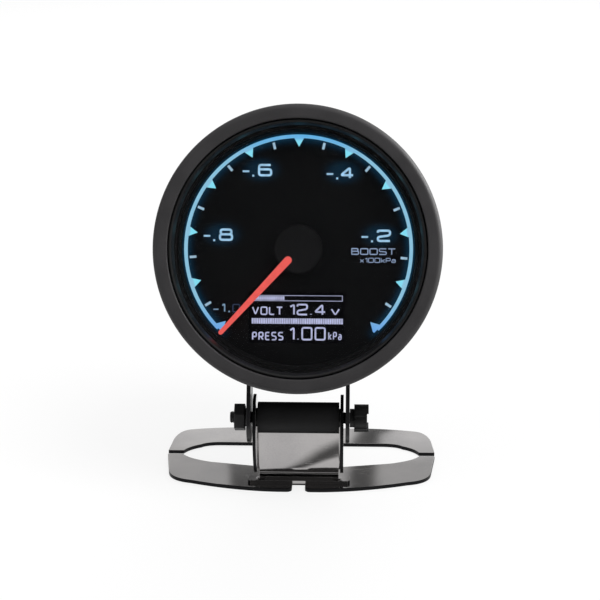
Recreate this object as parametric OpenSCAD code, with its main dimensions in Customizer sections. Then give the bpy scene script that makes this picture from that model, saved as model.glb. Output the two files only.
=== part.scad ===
// Round vacuum gauge with a lit scale, held in a moulded cup on a tilting sheet-metal stand.
// Millimetres. +X is the viewer's right, +Z is up and the dial faces -Y.
// The origin lies on the underside of the base, on the line through its two end slits.

/* [Base plate] */
// Width of the four-armed base over its arm tips
base_w = 71; // [66:1:80]
// Reach of the front arms ahead of the slit line
base_front = 24.8; // [23:0.2:30]
// Reach of the rear arms behind the slit line
base_rear = 19.3; // [16:0.1:26]
// Sheet thickness of the base
base_t = 1; // [0.8:0.1:1.5]
// Gap of the slit between a front arm and a rear arm
slit_gap = 2.4; // [1.6:0.1:3]
// Width of the notch between two arms
notch_w = 3.3; // [2:0.1:5]
// Length of the notch
notch_len = 4.6; // [3:0.1:5]
// Width of the middle web between the two windows
web_w = 17; // [14:0.5:20]

/* [Hinge bracket] */
// Clear width between the two flanges
hinge_inner_w = 21; // [19:0.5:24]
// Sheet thickness of the hinge bracket
hinge_t = 0.8; // [0.6:0.1:1.1]
// Height of the tilt axis above the top of the base
pivot_rise = 18; // [16:0.2:24]
// Distance of the tilt axis behind the front edge of the base
pivot_back = 2.8; // [2:0.1:4]
// Radius of the round flange top
flange_r = 5.85; // [5:0.05:6.2]
// Width of the foot
foot_w = 26; // [25:0.2:28]
// Depth of the foot ahead of the upright
foot_len = 4.1; // [3.8:0.1:5]

/* [Clamp] */
// Diameter of the clamp screw
screw_d = 3; // [2.5:0.1:3.4]
// Diameter of the rubber sleeve between the flanges
sleeve_d = 7.8; // [6.6:0.1:8.4]
// Diameter of the spacer tube inside the sleeve
spacer_d = 4.7; // [4.2:0.1:5.4]
// Size of the hexagon nut over its corners
nut_d = 7.2; // [6:0.1:8]
// Thickness of the nut
nut_t = 2.7; // [2:0.1:3.5]
// Diameter of the knob
knob_d = 7; // [6:0.1:9]
// Length of the knob
knob_len = 3.6; // [3:0.1:6]

/* [Cup and bracket] */
// Drop from the flat seat under the cup to the tilt axis
ear_drop = 11; // [9:0.1:14]
// Distance of the rim plane ahead of the tilt axis
head_reach = 20; // [19:0.5:24]
// Backward lean of the gauge at rest, in degrees
rest_tilt = 14.5; // [5:0.5:20]
// Wall of the cup around the bezel
lip_wall = 3.55; // [3:0.05:4]
// Depth of the cup from rim plane to rear face
cup_depth = 46.5; // [44:0.5:55]
// Diameter of the cable outlet in the rear wall
outlet_d = 16; // [10:0.5:18]
// Sheet thickness of the cup bracket
ear_t = 1; // [0.8:0.1:1.4]
// Radius of the round ear end
ear_r = 6.3; // [5.4:0.1:6.4]

/* [Gauge] */
// Diameter of the gauge can
can_d = 60; // [58:0.5:62]
// Thickness of the lens
lens_t = 1.5; // [1:0.1:2]
// Depth of the dial below the front edge of the can
dial_depth = 4; // [3.8:0.1:5]
// Length of the can behind its front edge
can_len = 28; // [27.4:0.1:29]
// Dark margin between the lit scale ring and the wall of the can
ring_margin = 1.3; // [1.2:0.1:2]
// How far the needle's tip reaches past the ring's outer edge
needle_over = 0.3; // [-4:0.1:0.5]

/* [Hidden] */
$fn = 96;
// Overrun of every cut past the face it opens
cut = 1;
// Gap between round pieces that are nested for good
seat_gap = 0.05;
// Running clearance of the screw and the needle shaft in their holes
run_gap = 0.05;
// Side gap between flange and ear
ear_gap = 0.5;
// Number of straight steps in a curved stretch of an outline
steps = 12;

// Base: the web, its corners and the rivets
mouth_r = 1.3;
window_corner_r = 2.4;
rivet_d = 1.8;
rivet_head_d = 2.6;
rivet_head_t = 0.15;
rivet_side = 3.4;
// Places on the outline, as shares of the half width and of the reach to the front or rear
front_start_share = 0.15;
front_corner_shares = [[0.45, 0.985], [0.78, 0.79], [0.94, 0.735], [0.955, 0.52]];
rear_corner_shares = [[0.98, 0.52], [0.955, 0.86], [0.86, 0.90], [0.70, 0.98], [0.50, 1]];
window_rear_shares = [[0.60, 0.394], [0.72, 0.395], [0.76, 0.30], [0.845, 0.22]];
window_front_shares = [[0.84, 0.18], [0.66, 0.275], [0.36, 0.385]];
window_tip_share = 0.88;
base_hw = base_w / 2;

// Hinge bracket: the upright lies behind the sleeve and the flanges point forward
bend_in = 0.4;
foot_bend_in = 0.8;
upright_gap = 0.7;
flange_lift = 1.6;
flange_low_share = 0.45;
top_over = 0.5;
foot_corner_r = 1;
pivot_y = pivot_back - base_front;
pivot_z = base_t + pivot_rise;
hinge_hw = hinge_inner_w / 2 + hinge_t;
upright_y = pivot_y + sleeve_d / 2 + upright_gap;
foot_y = upright_y - foot_len;
bend_out = bend_in + hinge_t;
foot_bend_out = foot_bend_in + hinge_t;
foot_top = base_t + hinge_t;
flange_low = foot_top + flange_lift;
rivet_x = foot_w / 2 - rivet_side;
rivet_y = foot_y + (foot_len - foot_bend_in) / 2;

// Clamp screw, from the nut on the left to the knob on the right
sleeve_inset = 0.3;
washer_t = 0.5;
knob_washer_t = 1.1;
washer_d = 4.7;
tip_over = 1.1;
knob_slot_share = 0.6;
knob_slot_t = 0.4;
flutes = 8;
flute_r = 0.55;
flute_share = 0.54;
shank_in_knob_share = 0.6;
ear_x = hinge_hw + ear_gap;
washer_x = ear_x + ear_t + run_gap;
nut_x = washer_x + washer_t;
knob_x = washer_x + knob_washer_t;
screw_r = screw_d / 2;
screw_hole_r = screw_r + run_gap;

// Cup, seen along its axis: depth counts from the rim plane backwards
lip_gap = 0.25;
bezel_wall = 1;
can_gap = 0.3;
lip_edge_r = 1.4;
lip_band = 5;
lip_fade = 4;
lip_lean = 0.5;
body_drop = 1.4;
rear_drop = 2.1;
rear_corner_r = 6;
rear_wall = 2.5;
outlet_low = 6;
can_r = can_d / 2;
bezel_r = can_r + bezel_wall;
lip_bore_r = bezel_r + lip_gap;
cup_r = lip_bore_r + lip_wall;
cup_bore_r = can_r + can_gap;
body_r = cup_r - body_drop;
rear_r = cup_r - rear_drop;

// Flat seat under the cup and the bracket on it
seat_wall = 0.9;
seat_len = 13;
web_len = 10;
ear_bend_in = 0.4;
bracket_screw_x = 8.5;
bracket_screw_d = 2.5;
bracket_screw_len = 2.5;
bracket_head_d = 4.2;
bracket_head_t = 0.9;
recess_d = 1.9;
recess_t = 0.5;
seat_y = cup_bore_r + seat_wall;
head_rise = seat_y + ear_drop;
ear_bend_out = ear_bend_in + ear_t;
ear_hw = ear_x + ear_t;

// Gauge stack, as depths below the rim plane
bezel_in = 0.7;
bezel_slope = 2.2;
bezel_lean = 0.7;
bezel_chamfer = 0.3;
bezel_lap = 0.6;
bezel_land = 0.1;
bezel_skirt = 2.5;
lens_rim = 0.4;
gasket_t = 0.5;
seat_t = 0.5;
lens_z = bezel_in + bezel_slope + bezel_land;
lens_r = can_r + lens_rim;
opening_r = lens_r - bezel_lap;
can_z = lens_z + lens_t + gasket_t;
bezel_end = can_z + bezel_skirt;
shelf_z = bezel_end + seat_t;
can_wall = 0.8;
can_step = 0.8;
can_in_r = can_r - can_wall;
dial_z = can_z + dial_depth;
dial_t = 0.8;
dial_r = can_in_r - seat_gap * 2;
trim_t = 0.7;
trim_top_t = 0.15;
trim_foot_t = 0.6;
housing_h = 7.2;
board_z = dial_z + dial_t + housing_h;
board_t = 1.6;
shoulder_z = board_z + board_t;
can_rear_r = can_r - can_step;
can_rear_in_r = can_rear_r - can_wall;
can_end = can_z + can_len;
cover_t = 2;
cover_z = can_end - cover_t;
cover_r = can_rear_in_r - seat_gap;
band_len = 8;
band_z = shoulder_z + band_len / 2;

// Dial furniture
hub_hole_r = 2.6;
// Size and place of the display window, as shares of the dial's radius
window_shares = [0.811, 0.433];
window_place_shares = [-0.0137, -0.574];
ring_w = 0.85;
ring_t = 0.3;
mark_h = 2.1;
mark_w = 2.4;
tick_w = 0.6;
tick_len = 1.6;
tick_in = 2.1;
ring_r = can_in_r - ring_margin;
needle_len = ring_r + needle_over;
window_size = dial_r * window_shares;
window_at = dial_r * window_place_shares;
scale_start = 225;
scale_sweep = 270;
marks = 10;

// Needle
needle_rest = 227.4;
needle_t = 0.8;
needle_root_w = 1.9;
needle_tip_w = 1.1;
needle_start = 2.7;
cap_r = 6;
cap_h = 2.4;
cap_edge_r = 0.7;
cap_gap = 0.8;
blade_inset = 0.6;
shaft_r = 0.6;
cap_z = dial_z - cap_gap - cap_h;

// Light housing, display and board parts
wall = 1;
channel_share = 0.7835;
tube_in_r = 4;
boss_r = 2;
boss_place_shares = [0.591, 0.275];
channel_r = dial_r * channel_share;
boss_at = dial_r * boss_place_shares;
display_lap = 0.6;
display_size = window_size + [2 * display_lap, 2 * display_lap];
display_t = 1.6;
display_gap = 0.1;
carrier_wall = 0.6;
board_r = can_in_r - seat_gap * 2;
board_screw_r = 1;
board_screw_len = 5;
board_head_r = 1.8;
board_head_t = 0.9;
led_size = [2.4, 1.6, 0.9];
led_r = (channel_r + dial_r - wall) / 2;
motor_boss_r = 3.4;
motor_boss_h = 2.4;
motor_h = 8.5;
motor_r = 9;
motor_small_r = 7;
motor_pitch = 13;
shaft_end = shoulder_z + motor_h / 2;
chip_h = 1.2;
control_size = 7;
control_place_shares = [0.55, -0.034];
driver_size = [4, 5];
driver_place_shares = [0.584, 0.498];
control_at = board_r * control_place_shares;
driver_at = board_r * driver_place_shares;
board_pitch = 10;
rear_board_gap = 1.4;
rear_board_t = 1.2;
header_w_share = 0.61;
header_t = 2.5;
header_low_share = 0.584;
header_size = [board_r * header_w_share, header_t];
header_at = [0, -board_r * header_low_share];
socket_wall = 0.8;
socket_deep = 3;
socket_over = 2.4;
power_size = [12, 6.4];
power_place_shares = [-0.34, -0.085];
sensor_size = [8.4, 6.4];
sensor_place_shares = [0.383, -0.085];
pin_w = 0.6;
post_r = 1.6;
post_share = 0.851;
post_turn = 90;
cover_turn = 30;
cover_boss_r = 1.9;
cover_boss_bite = 0.3;
cover_boss_len = 8;
cover_screw_r = 0.9;
cover_screw_len = 6;
cover_head_r = 1.7;
cover_head_t = 0.8;
cover_boss_at = can_rear_in_r - cover_boss_r + cover_boss_bite;
rear_board_r = cover_boss_at - cover_boss_r - rear_board_gap;
power_at = rear_board_r * power_place_shares;
sensor_at = rear_board_r * sensor_place_shares;
post_at = rear_board_r * post_share;
rear_board_z = shoulder_z + board_pitch;
post_h = cover_z - rear_board_z - rear_board_t;

// Curve from a to c that leans towards b
function curve(a, b, c) = [for (i = [0:steps]) let (t = i / steps)
    (1 - t) * (1 - t) * a + 2 * t * (1 - t) * b + t * t * c];
// Arc about a centre, from one angle to another
function arc(at, r, from, to) = [for (i = [0:steps]) let (a = from + (to - from) * i / steps)
    at + r * [cos(a), sin(a)]];
function mirrored(pts) = [for (i = [len(pts) - 1:-1:0]) [-pts[i].x, pts[i].y]];
function front_at(share) = [share.x * base_hw, -share.y * base_front];
function rear_at(share) = [share.x * base_hw, share.y * base_rear];

// Ring or disc along the cup axis, between two depths below the rim plane
module ring(r_out, r_in, from, to) {
    translate([0, 0, -to]) difference() {
        cylinder(r = r_out, h = to - from);
        if (r_in > 0) translate([0, 0, -cut]) cylinder(r = r_in, h = to - from + 2 * cut);
    }
}

// Rod along X between two places
module rod(r, from, to) {
    translate([from, 0, 0]) rotate([0, 90, 0]) cylinder(r = r, h = to - from);
}

// Moves a shape from the tilt axis frame to the stand
module at_pivot() translate([0, pivot_y, pivot_z]) children();

// Moves a shape from the cup frame, with its axis along Z and its rim plane at zero, to the stand
module on_head() at_pivot() rotate([90 - rest_tilt, 0, 0]) translate([0, head_rise, head_reach]) children();

// Moves a shape to the needle's direction at rest
module along_needle() rotate([0, 0, needle_rest]) children();

// Quarter of a bent sheet about a line along X, between the -Y and -Z sides
module sheet_bend(r_in, r_out, w) {
    rotate([0, 90, 0]) translate([0, 0, -w / 2]) intersection() {
        difference() {
            cylinder(r = r_out, h = w);
            translate([0, 0, -cut]) cylinder(r = r_in, h = w + 2 * cut);
        }
        cube([r_out, r_out, w]);
    }
}

// Base plate

// Right half of the outline, from the front notch round to the rear notch
function half_outline() = concat(
    [[notch_w / 2, notch_len - base_front]],
    arc([notch_w / 2 + mouth_r, mouth_r - base_front], mouth_r, 180, 270),
    curve(front_at([front_start_share, 1]), front_at(front_corner_shares[0]),
        front_at(front_corner_shares[1])),
    curve(front_at(front_corner_shares[1]), front_at(front_corner_shares[2]),
        front_at(front_corner_shares[3])),
    [[base_hw, 0]],
    curve(rear_at(rear_corner_shares[0]), rear_at(rear_corner_shares[1]), rear_at(rear_corner_shares[2])),
    curve(rear_at(rear_corner_shares[2]), rear_at(rear_corner_shares[3]), rear_at(rear_corner_shares[4])),
    arc([notch_w / 2 + mouth_r, base_rear - mouth_r], mouth_r, 90, 180),
    [[notch_w / 2, base_rear - notch_len]]);

// Window on the right side, which ends in the slit
function window_outline() = concat(
    arc([web_w / 2 + window_corner_r,
        rear_at(window_rear_shares[0]).y - window_corner_r], window_corner_r, 180, 90),
    curve(rear_at(window_rear_shares[0]), rear_at(window_rear_shares[1]), rear_at(window_rear_shares[2])),
    curve(rear_at(window_rear_shares[2]), rear_at(window_rear_shares[3]),
        [window_tip_share * base_hw, slit_gap / 2]),
    curve([window_tip_share * base_hw, -slit_gap / 2], front_at(window_front_shares[0]),
        front_at(window_front_shares[1])),
    arc([web_w / 2 + window_corner_r,
        front_at(window_front_shares[2]).y + window_corner_r], window_corner_r, 270, 180));

module base_plate() {
    color([0.42, 0.42, 0.45]) difference() {
        linear_extrude(base_t) difference() {
            polygon(concat(half_outline(), mirrored(half_outline())));
            for (side = [0, 1]) mirror([side, 0]) {
                polygon(window_outline());
                translate([window_tip_share * base_hw - cut, -slit_gap / 2]) square([base_hw, slit_gap]);
            }
        }
        for (side = [-1, 1]) translate([side * rivet_x, rivet_y, -cut])
            cylinder(d = rivet_d + 2 * seat_gap, h = base_t + 2 * cut);
    }
}

module foot_rivets() {
    color([0.35, 0.35, 0.37]) for (side = [-1, 1]) translate([side * rivet_x, rivet_y, 0]) {
        cylinder(d = rivet_d, h = foot_top);
        translate([0, 0, foot_top]) cylinder(d1 = rivet_head_d, d2 = rivet_d, h = rivet_head_t);
    }
}

// Hinge bracket

// Back of the sheet channel seen from above: the upright and its two bends
module channel_plan() {
    translate([-(hinge_hw - bend_out), upright_y]) square([2 * (hinge_hw - bend_out), hinge_t]);
    for (side = [0, 1]) mirror([side, 0]) translate([hinge_hw - bend_out, upright_y - bend_in]) intersection() {
        difference() {
            circle(r = bend_out);
            circle(r = bend_in);
        }
        square(bend_out);
    }
}

// Flange seen from the side, Y along X and Z along Y: a round ear that runs down into the bend
module flange_side() {
    intersection() {
        translate([pivot_y, pivot_z]) circle(r = flange_r);
        translate([pivot_y - flange_r, pivot_z - flange_r])
            square([upright_y - bend_in - pivot_y + flange_r, 2 * flange_r]);
    }
    polygon(concat(
        [[pivot_y - flange_r, pivot_z]],
        curve([pivot_y - flange_r, pivot_z - flange_r], [pivot_y - flange_r * flange_low_share, flange_low],
            [upright_y - bend_out, flange_low]),
        [[upright_y - bend_in, flange_low], [upright_y - bend_in, pivot_z]]));
}

module hinge_bracket() {
    color([0.42, 0.42, 0.45]) difference() {
        union() {
            translate([0, 0, flange_low]) linear_extrude(pivot_z + top_over - flange_low) channel_plan();
            for (x = [-hinge_hw, hinge_hw - hinge_t]) translate([x, 0, 0])
                rotate([90, 0, 90]) linear_extrude(hinge_t) flange_side();
            translate([-(hinge_hw - bend_out), upright_y, foot_top + foot_bend_in])
                cube([2 * (hinge_hw - bend_out), hinge_t, flange_low - foot_top - foot_bend_in]);
            translate([0, upright_y - foot_bend_in, foot_top + foot_bend_in])
                sheet_bend(foot_bend_in, foot_bend_out, 2 * (hinge_hw - bend_out));
            translate([0, 0, base_t]) linear_extrude(hinge_t) difference() {
                translate([-foot_w / 2, foot_y]) square([foot_w, foot_len - foot_bend_in]);
                for (side = [0, 1]) mirror([side, 0])
                    translate([foot_w / 2 - foot_corner_r, foot_y + foot_corner_r]) difference() {
                        translate([0, -foot_corner_r - cut]) square(foot_corner_r + cut);
                        circle(r = foot_corner_r);
                    }
            }
        }
        at_pivot() rod(screw_hole_r, -hinge_hw - cut, hinge_hw + cut);
        for (side = [-1, 1]) translate([side * rivet_x, rivet_y, base_t - cut])
            cylinder(d = rivet_d + 2 * seat_gap, h = hinge_t + 2 * cut);
    }
}

module spacer_tube() {
    color([0.1, 0.1, 0.1]) at_pivot() difference() {
        rod(spacer_d / 2, -hinge_inner_w / 2, hinge_inner_w / 2);
        rod(screw_hole_r, -hinge_inner_w / 2 - cut, hinge_inner_w / 2 + cut);
    }
}

module rubber_sleeve() {
    color([0.07, 0.07, 0.07]) at_pivot() difference() {
        rod(sleeve_d / 2, sleeve_inset - hinge_inner_w / 2, hinge_inner_w / 2 - sleeve_inset);
        rod(spacer_d / 2 + seat_gap, -hinge_inner_w, hinge_inner_w);
    }
}

module clamp_screw() {
    color([0.16, 0.16, 0.17]) at_pivot()
        rod(screw_r, -nut_x - nut_t - tip_over, knob_x + knob_len * shank_in_knob_share);
}

module clamp_knob() {
    color([0.08, 0.08, 0.08]) at_pivot() difference() {
        rod(knob_d / 2, knob_x, knob_x + knob_len);
        rod(screw_hole_r, knob_x - cut, knob_x + knob_len * shank_in_knob_share);
        for (i = [0:flutes - 1]) rotate([(i + 0.5) * 360 / flutes, 0, 0])
            translate([0, knob_d * flute_share, 0]) rod(flute_r, knob_x - cut, knob_x + knob_len + cut);
        translate([knob_x + knob_len - knob_slot_t, -knob_d, -knob_d * knob_slot_share / 2])
            cube([knob_slot_t + cut, 2 * knob_d, knob_d * knob_slot_share]);
    }
}

module knob_washer() {
    color([0.1, 0.1, 0.1]) at_pivot() difference() {
        rod(washer_d / 2, washer_x, knob_x);
        rod(screw_hole_r, washer_x - cut, knob_x + cut);
    }
}

module nut_washer() {
    color([0.1, 0.1, 0.1]) at_pivot() difference() {
        rod(washer_d / 2, -nut_x, -washer_x);
        rod(screw_hole_r, -nut_x - cut, cut - washer_x);
    }
}

module lock_nut() {
    color([0.08, 0.08, 0.08]) at_pivot() difference() {
        translate([-nut_x - nut_t, 0, 0]) rotate([0, 90, 0]) cylinder(d = nut_d, h = nut_t, $fn = 6);
        rod(screw_hole_r, -nut_x - nut_t - cut, cut - nut_x);
    }
}

// Cup and its bracket

// Ear seen along X in the cup frame, Z along X and Y along Y
module ear_side() {
    translate([-head_reach, -head_rise]) circle(r = ear_r);
    polygon([[-head_reach - web_len / 2, -seat_y - ear_bend_out], [-head_reach - ear_r, -head_rise],
        [-head_reach + ear_r, -head_rise], [-head_reach + web_len / 2, -seat_y - ear_bend_out]]);
}

module cup_bracket() {
    color([0.12, 0.12, 0.13]) on_head() difference() {
        union() {
            translate([ear_bend_out - ear_hw, -seat_y - ear_t, -head_reach - web_len / 2])
                cube([2 * (ear_hw - ear_bend_out), ear_t, web_len]);
            for (side = [0, 1]) mirror([side, 0, 0]) {
                translate([ear_hw, 0, 0]) rotate([0, -90, 0]) linear_extrude(ear_t) ear_side();
                translate([ear_hw - ear_bend_out, -seat_y - ear_bend_out, -head_reach - web_len / 2])
                    linear_extrude(web_len) intersection() {
                        difference() {
                            circle(r = ear_bend_out);
                            circle(r = ear_bend_in);
                        }
                        square(ear_bend_out);
                    }
            }
        }
        translate([0, -head_rise, -head_reach]) rod(screw_hole_r, -ear_hw - cut, ear_hw + cut);
        for (side = [-1, 1]) translate([side * bracket_screw_x, -seat_y - ear_t - cut, -head_reach])
            rotate([-90, 0, 0]) cylinder(d = bracket_screw_d + 2 * seat_gap, h = ear_t + 2 * cut);
    }
}

module bracket_screws() {
    color([0.1, 0.1, 0.1]) on_head()
        for (side = [-1, 1]) translate([side * bracket_screw_x, -seat_y - ear_t, -head_reach])
            rotate([-90, 0, 0]) difference() {
                union() {
                    cylinder(d = bracket_screw_d, h = bracket_screw_len);
                    translate([0, 0, -bracket_head_t]) cylinder(d = bracket_head_d, h = bracket_head_t);
                }
                translate([0, 0, -bracket_head_t - cut])
                    cylinder(d = recess_d, h = recess_t + cut, $fn = 6);
            }
}

// Outer form of the cup: a round-edged rim band, then a slow taper to a round rear corner
function cup_outline() = concat(
    [[0, 0]],
    arc([cup_r - lip_edge_r, -lip_edge_r], lip_edge_r, 90, 0),
    curve([cup_r, -lip_band], [body_r + lip_lean, -lip_band - lip_fade / 2],
        [body_r, -lip_band - lip_fade]),
    arc([rear_r - rear_corner_r, rear_corner_r - cup_depth], rear_corner_r, 0, -90),
    [[0, -cup_depth]]);

module mounting_cup() {
    color([0.13, 0.13, 0.14]) on_head() difference() {
        rotate_extrude() polygon(cup_outline());
        translate([-cup_r, -seat_y - cup_r, -head_reach - seat_len / 2]) cube([2 * cup_r, cup_r, seat_len]);
        ring(lip_bore_r, 0, -cut, shelf_z);
        ring(cup_bore_r, 0, 0, cup_depth - rear_wall);
        translate([0, -outlet_low, -cup_depth - cut]) cylinder(d = outlet_d, h = rear_wall + 2 * cut);
        for (side = [-1, 1]) translate([side * bracket_screw_x, -seat_y - cut, -head_reach])
            rotate([-90, 0, 0])
                cylinder(d = bracket_screw_d + 2 * seat_gap, h = bracket_screw_len - ear_t + seat_gap + cut);
    }
}

module seat_gasket() {
    color([0.05, 0.05, 0.05]) on_head() ring(bezel_r, cup_bore_r, bezel_end, shelf_z);
}

module grip_band() {
    color([0.05, 0.05, 0.05]) on_head()
        ring(cup_bore_r - seat_gap, can_rear_r + seat_gap, band_z, band_z + band_len);
}

// Gauge case

module gauge_bezel() {
    color([0.1, 0.1, 0.11]) on_head() rotate_extrude() polygon([
        [opening_r + bezel_lean, -bezel_in],
        [bezel_r - bezel_chamfer, -bezel_in],
        [bezel_r, -bezel_in - bezel_chamfer],
        [bezel_r, -bezel_end],
        [can_r + seat_gap, -bezel_end],
        [can_r + seat_gap, -can_z],
        [lens_r + seat_gap, -can_z],
        [lens_r + seat_gap, -lens_z],
        [opening_r, -lens_z],
        [opening_r, bezel_land - lens_z]]);
}

module lens() {
    color([0.6, 0.65, 0.7, 0.3]) on_head() ring(lens_r, 0, lens_z, lens_z + lens_t);
}

module lens_gasket() {
    color([0.04, 0.04, 0.04]) on_head() ring(lens_r, can_in_r, lens_z + lens_t, can_z);
}

module trim_ring() {
    color([0.05, 0.05, 0.05]) on_head() rotate_extrude() polygon([
        [dial_r - trim_top_t, -can_z],
        [dial_r, -can_z],
        [dial_r, -dial_z],
        [dial_r - trim_t, -dial_z],
        [dial_r - trim_t, trim_foot_t - dial_z]]);
}

module gauge_can() {
    color([0.09, 0.09, 0.1]) on_head() difference() {
        union() {
            difference() {
                union() {
                    ring(can_r, 0, can_z, shoulder_z + can_wall);
                    ring(can_rear_r, 0, can_z, can_end);
                }
                ring(can_rear_in_r, 0, shoulder_z - cut, can_end + cut);
            }
            for (i = [0:2]) rotate([0, 0, cover_turn + 120 * i]) intersection() {
                ring(can_rear_r, 0, cover_z - cover_boss_len, cover_z);
                translate([cover_boss_at, 0, -cover_z]) cylinder(r = cover_boss_r, h = cover_boss_len);
            }
        }
        ring(can_in_r, 0, 0, shoulder_z);
        for (i = [0:2]) rotate([0, 0, cover_turn + 120 * i]) translate([cover_boss_at, 0, -cover_z - cut])
            cylinder(r = cover_screw_r + seat_gap, h = cover_screw_len - cover_t + cut + seat_gap);
    }
}

// Dial and lit scale

module dial_plate() {
    color([0.03, 0.03, 0.03]) on_head() translate([0, 0, -dial_z - dial_t]) difference() {
        cylinder(r = dial_r, h = dial_t);
        translate([0, 0, -cut]) cylinder(r = hub_hole_r, h = dial_t + 2 * cut);
        translate([window_at.x - window_size.x / 2, window_at.y - window_size.y / 2, -cut])
            cube([window_size.x, window_size.y, dial_t + 2 * cut]);
    }
}

// Light guide: an open ring with a pointer-shaped mark at every tenth of the sweep
module scale_ring() {
    color([0.4, 0.8, 1]) on_head() translate([0, 0, -dial_z]) {
        rotate([0, 0, scale_start - scale_sweep]) rotate_extrude(angle = scale_sweep)
            translate([ring_r - ring_w, 0]) square([ring_w, ring_t]);
        for (i = [0:marks]) rotate([0, 0, scale_start - i * scale_sweep / marks]) linear_extrude(ring_t)
            polygon([[ring_r - ring_w / 2, -mark_w / 2], [ring_r - ring_w / 2, mark_w / 2],
                [ring_r - ring_w, mark_w / 2], [ring_r - ring_w - mark_h, 0],
                [ring_r - ring_w, -mark_w / 2]]);
    }
}

module scale_ticks() {
    color([0.85, 0.92, 1]) on_head() translate([0, 0, -dial_z])
        for (i = [0:marks - 1]) rotate([0, 0, scale_start - (i + 0.5) * scale_sweep / marks])
            translate([ring_r - tick_in - tick_len / 2, -tick_w / 2, 0]) cube([tick_len, tick_w, ring_t]);
}

// Needle

module needle_blade() {
    color([0.9, 0.25, 0.22]) on_head() translate([0, 0, -cap_z - blade_inset - needle_t]) along_needle()
        linear_extrude(needle_t) {
            polygon([[needle_start + needle_root_w / 2, -needle_root_w / 2],
                [needle_len - needle_tip_w / 2, -needle_tip_w / 2],
                [needle_len, 0],
                [needle_len - needle_tip_w / 2, needle_tip_w / 2],
                [needle_start + needle_root_w / 2, needle_root_w / 2]]);
            translate([needle_start + needle_root_w / 2, 0]) circle(d = needle_root_w);
        }
}

module needle_cap() {
    color([0.07, 0.07, 0.07]) on_head() difference() {
        translate([0, 0, -cap_z - cap_h]) rotate_extrude() polygon(concat(
            [[0, 0], [cap_r, 0]],
            arc([cap_r - cap_edge_r, cap_h - cap_edge_r], cap_edge_r, 0, 90),
            [[0, cap_h]]));
        along_needle() translate([needle_start + needle_root_w / 2, 0, -cap_z - blade_inset - needle_t]) {
            cylinder(r = needle_root_w / 2 + seat_gap, h = cap_h);
            translate([0, -needle_root_w / 2 - seat_gap, 0])
                cube([cap_r, needle_root_w + 2 * seat_gap, cap_h]);
        }
        ring(shaft_r + seat_gap, 0, cap_z + cap_h / 2, cap_z + cap_h + cut);
    }
}

module needle_shaft() {
    color([0.7, 0.7, 0.72]) on_head() ring(shaft_r, 0, cap_z + cap_h / 2, shaft_end);
}

// Inside the can

// Reflector that carries the dial: an outer wall, a light channel for the scale and a shaft tube
module light_housing() {
    color([0.85, 0.85, 0.83]) on_head() difference() {
        union() {
            ring(dial_r, dial_r - wall, dial_z + dial_t, board_z);
            ring(channel_r, channel_r - wall, dial_z + dial_t, board_z);
            ring(tube_in_r + wall, tube_in_r, dial_z + dial_t, board_z);
            for (x = [-1, 1], y = [-1, 1]) {
                rotate([0, 0, atan2(y * boss_at.y, x * boss_at.x)])
                    translate([tube_in_r + wall / 2, -wall / 2, -board_z])
                        cube([dial_r - tube_in_r - wall, wall, housing_h]);
                translate([x * boss_at.x, y * boss_at.y, -board_z]) cylinder(r = boss_r, h = housing_h);
            }
        }
        translate([window_at.x - display_size.x / 2 - display_gap,
            window_at.y - display_size.y / 2 - display_gap, -board_z - cut])
            cube([display_size.x + 2 * display_gap, display_size.y + 2 * display_gap, housing_h + 2 * cut]);
        for (x = [-1, 1], y = [-1, 1]) translate([x * boss_at.x, y * boss_at.y, -board_z - cut])
            cylinder(r = board_screw_r + seat_gap, h = board_screw_len - board_t + cut + seat_gap);
    }
}

module display_glass() {
    color([0.02, 0.02, 0.05]) on_head()
        translate([window_at.x - display_size.x / 2, window_at.y - display_size.y / 2,
            -dial_z - dial_t - display_gap - display_t])
            cube([display_size.x, display_size.y, display_t]);
}

module display_carrier() {
    color([0.8, 0.8, 0.78]) on_head() translate([window_at.x, window_at.y, -board_z]) difference() {
        translate([-display_size.x / 2, -display_size.y / 2, 0])
            cube([display_size.x, display_size.y, housing_h - display_gap - display_t]);
        translate([carrier_wall - display_size.x / 2, carrier_wall - display_size.y / 2, -cut])
            cube([display_size.x - 2 * carrier_wall, display_size.y - 2 * carrier_wall,
                housing_h - display_gap - display_t - carrier_wall + cut]);
    }
}

module main_board() {
    color([0.05, 0.3, 0.15]) on_head() difference() {
        ring(board_r, motor_boss_r + seat_gap, board_z, shoulder_z);
        for (x = [-1, 1], y = [-1, 1]) translate([x * boss_at.x, y * boss_at.y, -shoulder_z - cut])
            cylinder(r = board_screw_r + seat_gap, h = board_t + 2 * cut);
    }
}

module scale_lamps() {
    color([0.95, 0.95, 0.9]) on_head()
        for (i = [0:marks]) rotate([0, 0, scale_start - i * scale_sweep / marks])
            translate([led_r - led_size.y / 2, -led_size.x / 2, -board_z])
                cube([led_size.y, led_size.x, led_size.z]);
}

// Sealed needle drive: a large lobe at the shaft and a small one above it
module stepper_motor() {
    color([0.15, 0.15, 0.15]) on_head() difference() {
        union() {
            ring(motor_r, 0, shoulder_z, shoulder_z + motor_h);
            translate([0, motor_pitch, 0]) ring(motor_small_r, 0, shoulder_z, shoulder_z + motor_h);
            translate([-motor_small_r, 0, -shoulder_z - motor_h])
                cube([2 * motor_small_r, motor_pitch, motor_h]);
            ring(motor_boss_r, 0, board_z - motor_boss_h, shoulder_z + motor_h / 2);
        }
        ring(shaft_r + run_gap, 0, board_z - motor_boss_h - cut, shaft_end + can_gap);
    }
}

module control_chip() {
    color([0.08, 0.08, 0.08]) on_head()
        translate([control_at.x - control_size / 2, control_at.y - control_size / 2, -shoulder_z - chip_h])
            cube([control_size, control_size, chip_h]);
}

module driver_chips() {
    color([0.08, 0.08, 0.08]) on_head() for (side = [-1, 1])
        translate([side * driver_at.x - driver_size.x / 2, driver_at.y - driver_size.y / 2,
            -shoulder_z - chip_h])
            cube([driver_size.x, driver_size.y, chip_h]);
}

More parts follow.
